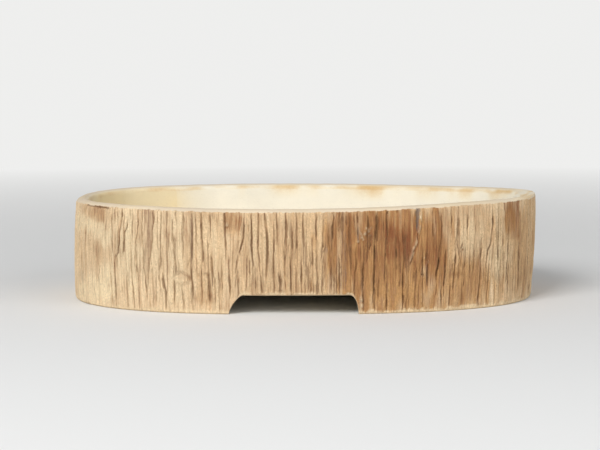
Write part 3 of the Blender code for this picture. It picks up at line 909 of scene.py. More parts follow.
def put_crumb(bark, walked, level, reach):
    """A pale crumb of clay with its shadow painted below it."""
    bark.dab(bark.lumps, walked, level, reach, 0.9 * reach, 1.1 * reach)
    bark.dab(bark.fields["cream"], walked, level, 1.15 * reach, 1.05 * reach, 1.0)
    # Painted shadow below the crumb
    bark.dab(bark.fields["stain_and_shade"], walked + 0.4 * reach, level - 1.5 * reach, reach, 0.7 * reach, 0.8)


def put_pit(bark, walked, level, reach):
    """A dark pit."""
    for field, strength in ((bark.cut, PIT_DEPTH), (bark.fields["groove"], 1.0)):
        bark.dab(field, walked, level, 1.2 * reach, 1.2 * reach, strength)


def raise_knot(bark):
    """A low oval swelling in which grooves fade out, with a line over it and a fainter one under it."""
    walked, level = on_front(bark.oval, [KNOT[:2]])
    knot = np.zeros(bark.cut.shape)
    bark.dab(knot, walked[0], level[0], KNOT[2] * PIXEL, KNOT[3] * PIXEL, 1.0)
    for field in (bark.cut, bark.lips, bark.fields["groove"]):
        field *= 1.0 - knot
    bark.lumps += KNOT[4] * knot
    for line in KNOT_LINES:
        bark.score(*line)


def lift_flakes(bark):
    """Flat hollows between a left and a right side, both ragged, with a soft lower end."""
    sides = bark.layers(FLAKE_SIDES)
    for (depth, stain_and_shade, grey), left, right in FLAKES:
        left_walk, left_level = on_front(bark.oval, left)
        right_walk, right_level = on_front(bark.oval, right)
        columns = bark.window(left_walk.min() - 0.004, right_walk.max() + 0.004)
        place = np.s_[:, columns]
        from_left = bark.from_run(left_walk, left_level, columns) + sides[place]
        from_right = bark.from_run(right_walk, right_level, columns) + sides[place]
        flake = smooth_step(from_left / 0.0006 + 0.5) * smooth_step(0.5 - from_right / 0.0006)
        flake = flake * smooth_step((bark.up - left_level[-1]) / 0.006)[:, None]
        bark.fields["oxide"][place] *= 1.0 - grey * flake
        for field, strength in ((bark.cut, depth), (bark.fields["stain_and_shade"], stain_and_shade), (bark.fields["ash_and_shade"], grey)):
            raise_to(field, place, strength * flake)


def open_seam(bark):
    """The front seam below its open top: a thin crack, with a pale crumbled ridge of clay along it, and its
    shade painted brown on both sides over a shallow hollow.
    """
    walked, level = on_front(bark.oval, SEAM_LINE[1:5])
    bark.carve(walked, level, *SEAM_CRACK, 1400)
    walked, level = on_front(bark.oval, SEAM_RIDGE)
    columns = bark.window(walked.min() - GROOVE_REACH, walked.max() + GROOVE_REACH)
    place = np.s_[:, columns]
    away = bark.from_run(walked, level, columns) + bark.layers(RIDGE_WANDER)[place]
    span = smooth_step((bark.up - level[-1]) / 0.004) * smooth_step((level[0] - bark.up) / 0.006)
    crumble = smooth_step(0.85 + bark.layers(RIDGE_CRUMBLE)[place])
    ridge = crumble * np.exp(-((away / 0.0012) ** 2)) * span[:, None]
    shade = (0.4 + 0.6 * crumble) * np.exp(-(((np.abs(away) - 0.0021) / 0.0008) ** 2)) * span[:, None]
    bark.lumps[place] += 0.0012 * ridge
    raise_to(bark.cut, place, 0.0006 * shade)
    raise_to(bark.fields["cream"], place, ridge)
    # Painted shade beside the ridge, over the shallow real hollow cut just above
    raise_to(bark.fields["stain_and_shade"], place, 0.7 * shade)


def carve_round(bark, height):
    """The main grooves of the ends and the back, with random ones and washes between them."""
    seed = 1500
    for rows, shift in ((END_GROOVES, 0.0), (END_GROOVES + FRONT_GROOVES, BACK_SHIFT)):
        for upper, lower, top, bottom in rows:
            walked = (np.array([lower, upper]) + shift) * bark.girth
            bark.carve(walked, np.array([bottom, top]) * height, *MAIN_GROOVE, seed)
            seed += 4
    chance = np.random.default_rng(7)
    walked = bark.oval.front_walk(FRONT_END)
    end = bark.girth - walked
    while walked < end:
        few = bark.at_left_end(walked, FEW_GROOVES)
        top = height - chance.uniform(0.001, 0.03)
        while top > 0.012:
            bottom = max(top - chance.uniform(0.014, 0.060), 0.002)
            levels = np.linspace(bottom, top, 5)
            drift = np.cumsum(chance.normal(0.0, 0.0006, 5))
            kind = chance.choice(4, p=GROOVE_CHANCES)
            if not few or chance.random() < 0.3:
                bark.carve(walked + drift, levels, *GROOVE_KINDS[kind][1:], seed)
            seed += 4
            top = bottom - chance.uniform(0.001, 0.014)
        walked += chance.uniform(0.0045, 0.0115)
    for _ in range(12):
        place = chance.uniform(0.27, 0.72) * bark.girth
        level = chance.uniform(0.015, 0.075)
        reach = chance.uniform(0.010, 0.030)
        field = bark.fields[chance.choice(["stain_and_shade", "warm", "warm", "rust", "cream"])]
        strength = chance.uniform(0.4, 0.8)
        bark.dab(field, place, level, reach, chance.uniform(0.014, 0.036), strength, ragged=True)


def carve_fine(bark, height):
    """Thin faint scratches between the grooves, all the way round."""
    chance = np.random.default_rng(19)
    walked = 0.0
    seed = 9000
    while walked < bark.girth:
        top = height - chance.uniform(0.0, 0.050)
        bottom = max(top - chance.uniform(0.010, 0.055), 0.002)
        levels = np.linspace(bottom, top, 4)
        drift = np.cumsum(chance.normal(0.0, 0.0005, 4))
        if not bark.at_left_end(walked, FEW_SCRATCHES) or chance.random() < 0.15:
            strength = chance.uniform(0.2, 1.0)
            half_width = chance.uniform(0.00035, 0.00060)
            bark.carve(walked + drift, levels, half_width, 0.0006 * strength, 0.70 * strength, seed)
        seed += 4
        walked += chance.uniform(0.0008, 0.0045)


def finish_bark(bark, scale):
    """Plates of differing height, fine striation, and washes broken up along the grain."""
    plates = sum(strength * bark.plates(*cells) for strength, *cells in PLATES)
    from_end = bark.offset(CALM_GRAIN[0] * bark.girth, np.arange(MAP_COLUMNS))
    calm = 1.0 - 0.75 * np.exp(-((from_end / CALM_GRAIN[1]) ** 4))[None, :]
    bark.fields["fibre"] = calm + 0.0 * plates
    grain = calm * (plates + bark.layers(STRIAE)) + bark.layers(UNEVEN)
    bark.relief = scale * (grain + bark.lips + bark.lumps - bark.cut)
    broken = 0.82 + bark.layers(BREAKS)
    for name in ("stain_and_shade", "rust", "ash_and_shade"):
        bark.fields[name] = np.clip(bark.fields[name] * broken, 0.0, 1.0)
    clouds = 0.22 * calm * smooth_step(bark.layers(CLOUDS) + bark.frays)
    tint = bark.plates(*TINT)
    stained = np.maximum(bark.fields["stain_and_shade"], clouds) + 0.20 * np.maximum(tint, 0.0)
    bark.fields["stain_and_shade"] = np.clip(stained, 0.0, 1.0)
    bark.fields["cream"] = np.clip(bark.fields["cream"] + 0.32 * np.maximum(-tint, 0.0), 0.0, 1.0)


def arch_level(sizes, x):
    """Level of the lower edge at x: nothing, or the cut-out's straight top and quarter ovals."""
    left = sizes.arch_left + sizes.arch_left_shoulder
    right = sizes.arch_right - sizes.arch_right_shoulder
    power = sizes.arch_left_power
    beyond_left = np.clip((left - x) / sizes.arch_left_shoulder, 0.0, 1.0)
    beyond_right = np.clip((x - right) / sizes.arch_right_shoulder, 0.0, 1.0)
    fall = (1.0 - beyond_left**power) ** (1 / power) * np.sqrt(1.0 - beyond_right**2)
    return sizes.arch_height * fall


def rim_level(sizes, oval, walked):
    """Height of the rim: its slow wave, smoothed, and a fine ripple."""
    wave = np.array(RIM_WAVE)
    share = np.mod(walked / oval.girth, 1.0)
    shifts = np.linspace(-0.03, 0.03, 7)
    total = sum(np.interp(share + shift, wave[:, 0], wave[:, 1], period=1.0) for shift in shifts)
    return sizes.height + total / len(shifts) + 0.00014 * oval.ripple(walked, 0.009, 31)


def wall_rows(sizes, rim_wide, rim_tall, slope):
    """The wall's section as rows: depth behind the outer face, share of the height, extra level.

    A row lies at (1 - share) * lower edge + share * rim + extra. The rows go up the outer face,
    over the rim, whose top may slope down inwards, down the inner face and back along the bottom.
    """
    wall = sizes.wall
    foot = FOOT_ROUND
    inner = INNER_ROUND
    foot_turn = np.radians([-90.0, -62.0, -36.0, -14.0])
    face = np.linspace(0.0, 1.0, 54)
    rim_turn = np.radians(np.linspace(0.0, 90.0, 8)[1:])
    crown = np.linspace(0.0, 1.0, 5)[1:-1]
    inner_turn = np.radians(np.linspace(90.0, 180.0, 7))
    inside = np.linspace(1.0, 0.0, 8)[1:]
    inner_foot = np.radians([205.0, 235.0, 270.0])
    bottom = np.linspace(0.0, 1.0, 5)[1:-1]
    depth = [
        foot - foot * np.cos(foot_turn),
        0.0 * face,
        rim_wide - rim_wide * np.cos(rim_turn),
        rim_wide + (wall - inner - rim_wide) * crown,
        wall - inner - inner * np.cos(inner_turn),
        wall + 0.0 * inside,
        wall - foot - foot * np.cos(inner_foot),
        wall - foot + (2 * foot - wall) * bottom,
    ]
    share = [0.0 * foot_turn, face, 1.0 + 0.0 * rim_turn, 1.0 + 0.0 * crown]
    share += [1.0 + 0.0 * inner_turn, inside, 0.0 * inner_foot, 0.0 * bottom]
    extra = [
        foot + foot * np.sin(foot_turn),
        (1 - face) * foot - face * rim_tall,
        rim_tall * np.sin(rim_turn) - rim_tall,
        0.0005 * np.sin(pi * crown) - slope * crown,
        inner * np.sin(inner_turn) - inner - slope,
        (1 - inside) * foot - inside * (inner + slope),
        foot + foot * np.sin(inner_foot),
        0.0 * bottom,
    ]
    return [np.concatenate(part)[:, None] for part in (depth, share, extra)]


def slab_columns(oval, start, end, edges):
    """Columns between two path lengths: finer on the front, and finest just inside the cut-out's ends."""
    front = oval.front_walk(np.array([-FINE_FRONT, FINE_FRONT]))
    marks = np.unique(np.clip([start, *front, end], start, end))
    runs = []
    for first, last in zip(marks[:-1], marks[1:]):
        step = FRONT_STEP if front[0] <= first and last <= front[1] else ROUND_STEP
        runs.append(np.linspace(first, last, int((last - first) / step) + 2))
    fine = 0.00008 + 0.0022 * np.linspace(0.0, 1.0, 14) ** 1.8
    beside = [0.00005]
    runs += [edges[0] + fine, edges[0] - beside, edges[1] - fine, edges[1] + beside]
    columns = np.unique(np.concatenate(runs))
    keep = np.concatenate([[True], np.diff(columns) > CLOSEST_COLUMNS])
    return columns[keep]


def slab_surface(sizes, oval, bark, columns, start_shift, end_shift):
    """A wall slab on a grid of section rows and path columns.

    A point stands on the oval, moved along its normal by relief - depth - draw + lean, where the
    draw is a parabola each way from the belly. Near both ends a column leans by the end's own
    shift, which is a function of depth and level, so that the slab's scarf is cut along it.
    """
    depth, share, extra = wall_rows(sizes, *ROUND_RIM)
    sharp_depth, _, sharp_extra = wall_rows(sizes, *SHARP_RIM)
    sharp = oval.patch(columns, *SHARP_END)[None, :]
    depth = depth * (1.0 - sharp) + sharp_depth * sharp
    extra = extra * (1.0 - sharp) + sharp_extra * sharp
    level = share * sizes.height + extra
    near_start = 1.0 - smooth_step((columns - columns[0]) / SCARF_REACH)
    near_end = 1.0 - smooth_step((columns[-1] - columns) / SCARF_REACH)
    walked = columns + start_shift(depth, level) * near_start + end_shift(depth, level) * near_end
    x, y, normal_x, normal_y = oval.at(walked)
    lower = arch_level(sizes, x - normal_x * depth)
    rim = rim_level(sizes, oval, walked)
    level = (1 - share) * lower + share * rim + extra
    below = np.clip((sizes.belly - level) / sizes.belly, 0.0, 1.0)
    above = np.clip((level - sizes.belly) / (sizes.height - sizes.belly), 0.0, 1.0)
    draw = sizes.foot_draw * below**2 + sizes.rim_draw * above**2
    outer = 1.0 - depth / sizes.wall
    carried = np.maximum(outer, smooth_step((level - 0.055) / 0.030))
    lean = sizes.lean * (level / sizes.height - 0.5)
    clear_rim = smooth_step((rim - 0.0008 - level) / 0.0022)
    clear_foot = smooth_step((level - lower - 0.0006) / 0.0035)
    on_face = 1.0 - smooth_step((depth - 0.0004) / 0.0030)
    weight = clear_rim * (0.25 + 0.75 * clear_foot) * on_face
    inside = smooth_step((depth - 0.009) / 0.003) * share
    relief = weight * bark.read(bark.relief, walked, level)
    relief = relief - inside * 0.0003 * oval.mottle(walked, level, 0.030, 0.022, 51)
    out = relief - depth - draw * outer + normal_x * lean * carried
    points = np.stack([x + normal_x * out, y + normal_y * out, level], axis=-1)
    return points, walked, level, depth, rim, lower


def wall_masks(oval, bark, columns, tan_side, points, walked, level, depth, rim, lower):
    """The masks of a slab: bark where its skin is, smooth clay over the rim, cream clay inside.

    Tan lies inside on the tan side, in smears that drip from under the rim, and by the seam. The
    rim's right end takes the inside's pale clay as a painted highlight. The crown of the front rim is
    greyed with painted shade along its inner edge, and the lower edge is worn pale to a ragged line.
    """
    below_rim = rim - level
    above_foot = level - lower
    back = points[..., 1]
    ragged = 0.0004 * oval.ripple(walked, 0.0024, 61)
    skin = smooth_step((below_rim - BARK_TOP + ragged) / SOFT_EDGE)
    skin = skin * (1.0 - smooth_step((depth - BARK_DEPTH) / SOFT_EDGE))
    skin = skin * smooth_step((above_foot + 0.0006) / 0.0016)
    basin = smooth_step((depth - INSIDE_DEPTH) / INSIDE_CHANGE)
    # Painted highlight: the rim's right end takes the inside's pale clay colour
    basin = np.maximum(basin, 0.9 * oval.patch(walked, *HIGHLIGHT_END) * (1.0 - skin))
    wash = 0.5 + 0.5 * oval.mottle(walked, level, 0.030, 0.012, 62)
    drip = 0.5 + 0.5 * oval.ripple(walked, 0.021, 63) + 0.14 * oval.ripple(walked, 0.008, 65)
    smear = np.clip(0.75 + 0.6 * oval.mottle(walked, level, 0.012, 0.0024, 67), 0.0, 1.0)
    ends = (below_rim - 0.0030) / (0.0012 + 0.0050 * np.clip(drip, 0.0, 1.2))
    under_rim = smear * basin * (1.0 - smooth_step(ends)) * np.clip(0.36 + 0.58 * drip, 0.0, 1.0)
    from_seam = np.minimum(columns - columns[0], columns[-1] - columns)
    spill = 0.80 * np.exp(-from_seam / 0.020) * (back > 0.0)
    tan_side = np.maximum(tan_side * smooth_step((back + 0.06) / 0.08), spill)
    tan = np.maximum(0.8 * under_rim, tan_side * basin * (0.50 + 0.25 * wash))
    tan = np.maximum(tan, 0.20 * wash * (1.0 - basin))
    # Painted shade: the inner half of the front rim's crown is greyed, in the ash mask
    crown = smooth_step((depth - 0.0056) / 0.0010) * smooth_step((0.0110 - depth) / 0.0010)
    crown = crown * (below_rim < 0.004) * smooth_step((-0.070 - back) / 0.030)
    worn = 0.0024 + 0.0014 * oval.ripple(walked, 0.006, 64) + 0.0008 * oval.ripple(walked, 0.0018, 66)
    worn = worn - 0.0014 * (lower > 0.004)
    outside = depth < OUTSIDE_DEPTH
    edge = outside * (1.0 - smooth_step((above_foot - worn) / SOFT_EDGE))
    masks = {key: outside * bark.read(bark.fields[key], walked, level) for key in BarkMap.MASKS}
    for key in ("warm", "stain_and_shade", "rust", "oxide"):
        masks[key] = masks[key] * (1.0 - 0.75 * edge)
    masks["cream"] = np.maximum(masks["cream"], 0.62 * edge)
    masks["warm"] = np.maximum(masks["warm"], under_rim)
    masks["ash_and_shade"] = np.maximum(masks["ash_and_shade"] * (skin > 0.5), 0.55 * crown)
    masks.update(skin=skin, tan=tan, basin=basin)
    return masks


def grid_quads(rows, columns, rows_close, columns_close):
    """Corner numbers of the quads of a grid, which may close on itself either way."""
    row = np.arange(rows if rows_close else rows - 1)[:, None]
    column = np.arange(columns if columns_close else columns - 1)[None, :]
    next_row = (row + 1) % rows
    next_column = (column + 1) % columns
    corners = [
        row * columns + column,
        row * columns + next_column,
        next_row * columns + next_column,
        next_row * columns + column,
    ]
    return np.stack(np.broadcast_arrays(*corners), axis=-1).reshape(-1, 4)


def end_fans(rows, columns, first_middle):
    """Triangles that close both ends of a grid whose rows run round a section."""
    row = np.arange(rows)
    after = (row + 1) % rows
    start = np.stack([row * columns, after * columns, np.full(rows, first_middle)], axis=1)
    last = columns - 1
    end = np.stack([after * columns + last, row * columns + last, np.full(rows, first_middle + 1)], axis=1)
    return np.concatenate([start, end])


def new_piece(name, points, faces, material, node):
    """A smooth mesh from arrays of points and faces, set in the frame in place of a CAD node."""
    mesh = bpy.data.meshes.new(name)
    points = np.asarray(points, np.float32).reshape(-1, 3)
    loops = np.concatenate([group.ravel() for group in faces])
    counts = np.concatenate([np.full(len(group), group.shape[1]) for group in faces])
    starts = np.concatenate([[0], np.cumsum(counts)[:-1]])
    mesh.vertices.add(len(points))
    mesh.vertices.foreach_set("co", points.ravel())
    mesh.loops.add(len(loops))
    mesh.loops.foreach_set("vertex_index", loops.astype(np.int32))
    mesh.polygons.add(len(counts))
    mesh.polygons.foreach_set("loop_start", starts.astype(np.int32))
    mesh.update(calc_edges=True)
    if mesh.validate():
        raise RuntimeError(f"{name} has faces that Blender had to mend")
    mesh.shade_smooth()
    mesh.materials.append(material)
    piece = bpy.data.objects.new(name, mesh)
    bpy.context.scene.collection.objects.link(piece)
    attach(piece, "root")
    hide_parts(node)
    return piece


def capped_piece(name, points, material, node):
    """A piece from a grid whose rows run round a section, with a sharp-edged fan over each end."""
    rows, columns = points.shape[:2]
    middles = points[:, [0, -1]].mean(axis=0)
    every = np.concatenate([points.reshape(-1, 3), middles])
    faces = [grid_quads(rows, columns, True, False), end_fans(rows, columns, rows * columns)]
    piece = new_piece(name, every, faces, material, node)
    mesh = piece.data
    ends = np.zeros(len(mesh.vertices), bool)
    ends[np.arange(rows) * columns] = True
    ends[np.arange(rows) * columns + columns - 1] = True
    pairs = np.empty(2 * len(mesh.edges), np.int32)
    mesh.edges.foreach_get("vertices", pairs)
    mesh.edges.foreach_set("use_edge_sharp", ends[pairs.reshape(-1, 2)].all(axis=1))
    return piece


def give_mask(piece, name, values):
    """A value for each point of a capped piece, which its material reads by name."""
    mask = piece.data.attributes.new(name, "FLOAT", "POINT")
    mask.data.foreach_set("value", np.append(values, [0.0, 0.0]).astype(np.float32))


class Wiring:
    """Adds nodes to a tree. Each input is a socket, which is joined to it, or a plain value."""

    def __init__(self, tree):
        self.tree = tree

    def add(self, kind, settings=None, **inputs):
        """One node, whose inputs go by name, or by number as i0, i1 and so on."""
        node = self.tree.nodes.new(kind)
        for key, value in (settings or {}).items():
            setattr(node, key, value)
        for key, value in inputs.items():
            place = node.inputs[int(key[1:])] if key[0] == "i" and key[1:].isdigit() else node.inputs[key]
            if isinstance(value, bpy.types.NodeSocket):
                self.tree.links.new(value, place)
            else:
                place.default_value = value
        return node

    def place(self):
        """Object coordinates."""
        return self.add("ShaderNodeTexCoord").outputs["Object"]

    def squeezed(self, place, share):
        """Coordinates that change more slowly upwards, so that a pattern is drawn out along the grain."""
        return self.add("ShaderNodeMapping", None, Vector=place, Scale=(1.0, 1.0, share)).outputs[0]

    def noise(self, place, scale, detail, roughness=0.5, distortion=0.0):
        """A noise texture."""
        values = {"Scale": scale, "Detail": detail, "Roughness": roughness, "Distortion": distortion}
        return self.add("ShaderNodeTexNoise", None, Vector=place, **values).outputs["Fac"]

    def maths(self, operation, first, second):
        """One operation on two values."""
        return self.add("ShaderNodeMath", {"operation": operation}, i0=first, i1=second).outputs[0]

    def plus(self, first, second):
        """The sum of two values."""
        return self.maths("ADD", first, second)

    def times(self, first, second):
        """The product of two values."""
        return self.maths("MULTIPLY", first, second)

    def rescale(self, value, low, high, new_low, new_high):
        """A value stretched from one range to another and held inside it."""
        ends = {"i1": low, "i2": high, "i3": new_low, "i4": new_high}
        return self.add("ShaderNodeMapRange", None, i0=value, **ends).outputs[0]

    def mix(self, share, below, above):
        """The colour above over the colour below, by its share."""
        return self.add("ShaderNodeMix", {"data_type": "RGBA"}, i0=share, i6=below, i7=above).outputs[2]

    def toned(self, base, tone):
        """A colour times a value."""
        return self.add("ShaderNodeVectorMath", {"operation": "SCALE"}, i0=base, Scale=tone).outputs[0]

    def group(self, made, **inputs):
        """The outputs of a node group."""
        return self.add("ShaderNodeGroup", {"node_tree": made}, **inputs).outputs

    def finish(self, shader, base, rough, height, strength, distance):
        """Join colour, roughness and a bump to a shader."""
        bump = self.add("ShaderNodeBump", None, Strength=strength, Distance=distance, Height=height)
        ends = {"Base Color": base, "Roughness": rough, "Normal": bump.outputs[0]}
        for name, socket in ends.items():
            self.tree.links.new(socket, shader.inputs[name])


def new_group(name, inputs, outputs):
    """A node group with named sockets, its wiring and what comes into it."""
    group = bpy.data.node_groups.new(name, "ShaderNodeTree")
    for socket, kind in inputs.items():
        group.interface.new_socket(socket, in_out="INPUT", socket_type=kind)
    for socket in outputs:
        group.interface.new_socket(socket, in_out="OUTPUT", socket_type="NodeSocketFloat")
    nodes = Wiring(group)
    return group, nodes, nodes.add("NodeGroupInput").outputs


def clay_body_group():
    """Grain of fired clay: cloudy mottle, grog specks, and a height for bumps."""
    made = bpy.data.node_groups.get("clay_body")
    if made:
        return made
    sockets = {"Coordinate": "NodeSocketVector", "Scale": "NodeSocketFloat"}
    group, nodes, source = new_group("clay_body", sockets, ("Mottle", "Specks", "Height"))
    place = source["Coordinate"]
    cloud, fine, dots = (nodes.times(source["Scale"], factor) for factor in (28.0, 420.0, 760.0))
    mottle = nodes.noise(place, cloud, 5.0, 0.6)
    grain = nodes.noise(place, fine, 4.0, 0.65)
    grog = nodes.add("ShaderNodeTexVoronoi", None, Vector=place, Scale=dots, Randomness=1.0)
    specks = nodes.rescale(grog.outputs["Distance"], 0.05, 0.30, 1.0, 0.0)
    shown = nodes.times(specks, nodes.rescale(grain, 0.52, 0.62, 0.0, 1.0))
    nodes.add("NodeGroupOutput", None, Mottle=mottle, Specks=shown, Height=grain)
    return group


def scuff_group():
    """Fine handling marks: a cloudy mask and a height, for the net and the wire."""
    made = bpy.data.node_groups.get("scuffs")
    if made:
        return made
    group, nodes, source = new_group("scuffs", {"Coordinate": "NodeSocketVector"}, ("Dust", "Height"))
    place = source["Coordinate"]
    dust = nodes.rescale(nodes.noise(place, 180.0, 4.0), 0.45, 0.70, 0.0, 1.0)
    nodes.add("NodeGroupOutput", None, Dust=dust, Height=nodes.noise(place, 2200.0, 2.0))
    return group


def new_material(name):
    """A node material with its shader, its wiring and Object coordinates."""
    material = bpy.data.materials.new(name)
    material.use_nodes = True
    nodes = Wiring(material.node_tree)
    return material, material.node_tree.nodes["Principled BSDF"], nodes, nodes.place()


def paints():
    """All the pot's colours by name, with full alpha."""
    colours = bpy.context.scene.pot_colours
    return {name: (*getattr(colours, name), 1.0) for name in PotColours.__annotations__}


def bark_material(name):
    """Bark-tooled clay: straw streaked along the grain, oxide washes, dark grooves, smooth rim."""
    material, shader, nodes, place = new_material(name)
    paint = paints()
    body = nodes.group(clay_body_group(), Coordinate=place, Scale=1.0)
    masks = {}
    for key in (*BarkMap.MASKS, "skin", "tan", "basin"):
        masks[key] = nodes.add("ShaderNodeAttribute", {"attribute_name": key}).outputs["Fac"]
    upright = nodes.squeezed(place, 0.045)
    streak = nodes.rescale(nodes.noise(upright, 210.0, 3.0, 0.6), 0.36, 0.66, 0.0, 1.0)
    streak = nodes.times(streak, masks["fibre"])
    hair = nodes.rescale(nodes.noise(upright, 780.0, 3.0, 0.7), 0.38, 0.64, 0.0, 1.0)
    hair = nodes.times(hair, masks["fibre"])
    crumbs = nodes.noise(nodes.squeezed(place, 0.75), 760.0, 4.0, 0.8)
    crumb = nodes.rescale(crumbs, 0.34, 0.66, -1.0, 1.0)
    mottle = nodes.rescale(body["Mottle"], 0.30, 0.70, 0.0, 1.0)

    def frayed(key, low, high, reach):
        """A mask cut along the grain: streaks and crumbs move its edge by their reach."""
        moved = nodes.times(nodes.maths("SUBTRACT", hair, 0.5), reach)
        moved = nodes.plus(moved, nodes.times(crumb, 0.5 * reach))
        return nodes.rescale(nodes.plus(masks[key], moved), low, high, 0.0, 1.0)

    wood = nodes.plus(nodes.times(streak, 0.28), nodes.times(hair, 0.22))
    wood = nodes.plus(wood, nodes.times(mottle, 0.12))
    skin = nodes.mix(wood, paint["straw"], paint["tan"])
    skin = nodes.mix(masks["warm"], skin, nodes.mix(wood, paint["warm"], paint["stain_and_shade"]))
    # Washes of oxide and pale clay. The cream mask also holds painted highlights on groove lips, and the
    # stain mask holds painted shadows by crumbs and the seam's ridge
    for key, edge in WASH_EDGES.items():
        skin = nodes.mix(frayed(key, *edge), skin, paint[key])
    oxide = nodes.times(masks["oxide"], nodes.rescale(masks["warm"], 0.0, 0.8, 0.72, 1.0))
    halo = nodes.times(nodes.rescale(masks["groove"], 0.05, 0.60, 0.0, 0.24), oxide)
    skin = nodes.mix(halo, skin, paint["stain_and_shade"])
    skin = nodes.mix(nodes.times(frayed("groove", 0.40, 0.72, 0.30), oxide), skin, paint["groove"])
    smooth = nodes.mix(masks["tan"], paint["rim"], paint["inner_tan"])
    # The inside's clay, which is also painted on the rim's right end as a highlight
    smooth = nodes.mix(masks["basin"], smooth, nodes.mix(masks["tan"], paint["inner"], paint["inner_tan"]))
    rubbed = nodes.times(nodes.times(frayed("warm", 0.05, 0.95, 0.25), 0.75), masks["basin"])
    smooth = nodes.mix(rubbed, smooth, paint["warm"])
    # Grey oxide, and the painted shade on the front rim's crown
    smooth = nodes.mix(masks["ash_and_shade"], smooth, paint["ash_and_shade"])
    both = nodes.mix(frayed("skin", 0.35, 0.65, 0.3), smooth, skin)
    shade = nodes.rescale(mottle, 0.0, 1.0, 1.04, 0.95)
    speck = nodes.rescale(body["Specks"], 0.0, 1.0, 1.0, 0.74)
    grain = nodes.rescale(nodes.times(crumb, masks["skin"]), -1.0, 1.0, 0.74, 1.21)
    base = nodes.toned(both, nodes.times(nodes.times(shade, speck), grain))
    rough = nodes.rescale(body["Height"], 0.3, 0.7, 0.80, 0.95)
    tooled = nodes.times(masks["skin"], nodes.plus(nodes.times(hair, 0.45), crumbs))
    height = nodes.plus(nodes.times(body["Height"], 0.5), tooled)
    nodes.finish(shader, base, rough, height, 0.9, 0.0006)
    shader.inputs["Specular IOR Level"].default_value = 0.25
    return material


def smooth_clay_material(name):
    """Smoothed cream clay of the floor and the coils, with grog specks and finger marks."""
    material, shader, nodes, place = new_material(name)
    paint = paints()
    body = nodes.group(clay_body_group(), Coordinate=place, Scale=0.8)
    wiped = nodes.noise(place, 60.0, 2.0, distortion=0.8)
    mottle = nodes.rescale(body["Mottle"], 0.35, 0.75, 0.0, 0.55)
    base = nodes.mix(mottle, paint["inner"], paint["inner_tan"])
    base = nodes.toned(base, nodes.rescale(body["Specks"], 0.0, 1.0, 1.0, 0.62))
    rough = nodes.rescale(wiped, 0.3, 0.7, 0.78, 0.95)
    height = nodes.plus(body["Height"], nodes.times(wiped, 1.5))
    nodes.finish(shader, base, rough, height, 0.5, 0.0005)
    shader.inputs["Specular IOR Level"].default_value = 0.25
    return material


def net_material(name):
    """Matt moulded plastic with dust on it."""
    material, shader, nodes, place = new_material(name)
    paint = paints()
    marks = nodes.group(scuff_group(), Coordinate=place)
    base = nodes.mix(nodes.times(marks["Dust"], 0.10), paint["net"], paint["inner_tan"])
    rough = nodes.rescale(marks["Dust"], 0.0, 1.0, 0.42, 0.70)
    nodes.finish(shader, base, rough, marks["Height"], 0.3, 0.0001)
    return material


def wire_material(name):
    """Soft dull wire with fine scuffs."""
    material, shader, nodes, place = new_material(name)
    bright = paints()["wire"]
    dull = (*(0.6 * value for value in bright[:3]), 1.0)
    marks = nodes.group(scuff_group(), Coordinate=place)
    base = nodes.mix(marks["Dust"], bright, dull)
    rough = nodes.rescale(marks["Dust"], 0.0, 1.0, 0.30, 0.52)
    nodes.finish(shader, base, rough, marks["Height"], 0.2, 0.0001)
    shader.inputs["Metallic"].default_value = 1.0
    return material


def shared_material(name, maker):
    """A material by name, made once."""
    return bpy.data.materials.get(name) or maker(name)


class POT_OT_walls(bpy.types.Operator):
    """Build the two wall slabs, tooled like bark and scarfed together at the seams"""

    bl_idname = "pot.walls"
    bl_label = "Wall slabs"

    def execute(self, context):
        """Map the bark once, then cut both slabs from it."""
        sizes = context.scene.pot_sizes
        oval = OvalPath(sizes)
        bark = BarkMap(oval, sizes.height)
        for name, pixels in FRONT_WASHES.items():
            bark.dabs(name, pixels)
        carve_front(bark)
        carve_round(bark, sizes.height)
        carve_fine(bark, sizes.height)
        raise_knot(bark)
        finish_bark(bark, sizes.groove_scale)
        seam_walk, seam_level = on_front(oval, SEAM_LINE)
        front = oval.front_walk(FRONT_SEAM)
        back = oval.girth / 2 - oval.front_walk(BACK_SEAM)

        def front_shift(depth, level):
            """The front seam leans as its line does."""
            return np.interp(level, seam_level[::-1], seam_walk[::-1]) - front - depth

        def back_shift(depth, level):
            """The back seam stands nearly upright."""
            return 0.0006 * np.sin(level / 0.012) - depth

        left_edges = oval.front_walk(np.array([sizes.arch_left, sizes.arch_right]))
        right_edges = oval.girth / 2 - left_edges[::-1]
        left = slab_columns(oval, back - oval.girth + SEAM_GAP, front - SEAM_GAP, left_edges)
        right = slab_columns(oval, front + SEAM_GAP, back - SEAM_GAP, right_edges)
        slabs = [
            ("left_wall", left, 1.0, back_shift, front_shift),
            ("right_wall", right, 0.0, front_shift, back_shift),
        ]
        material = shared_material("pot_bark_clay", bark_material)
        for name, columns, tan_side, *shifts in slabs:
            surface = slab_surface(sizes, oval, bark, columns, *shifts)
            piece = capped_piece(name, surface[0], material, name + "_slab")
            for key, values in wall_masks(oval, bark, columns, tan_side, *surface).items():
                give_mask(piece, key, values)
        return {"FINISHED"}


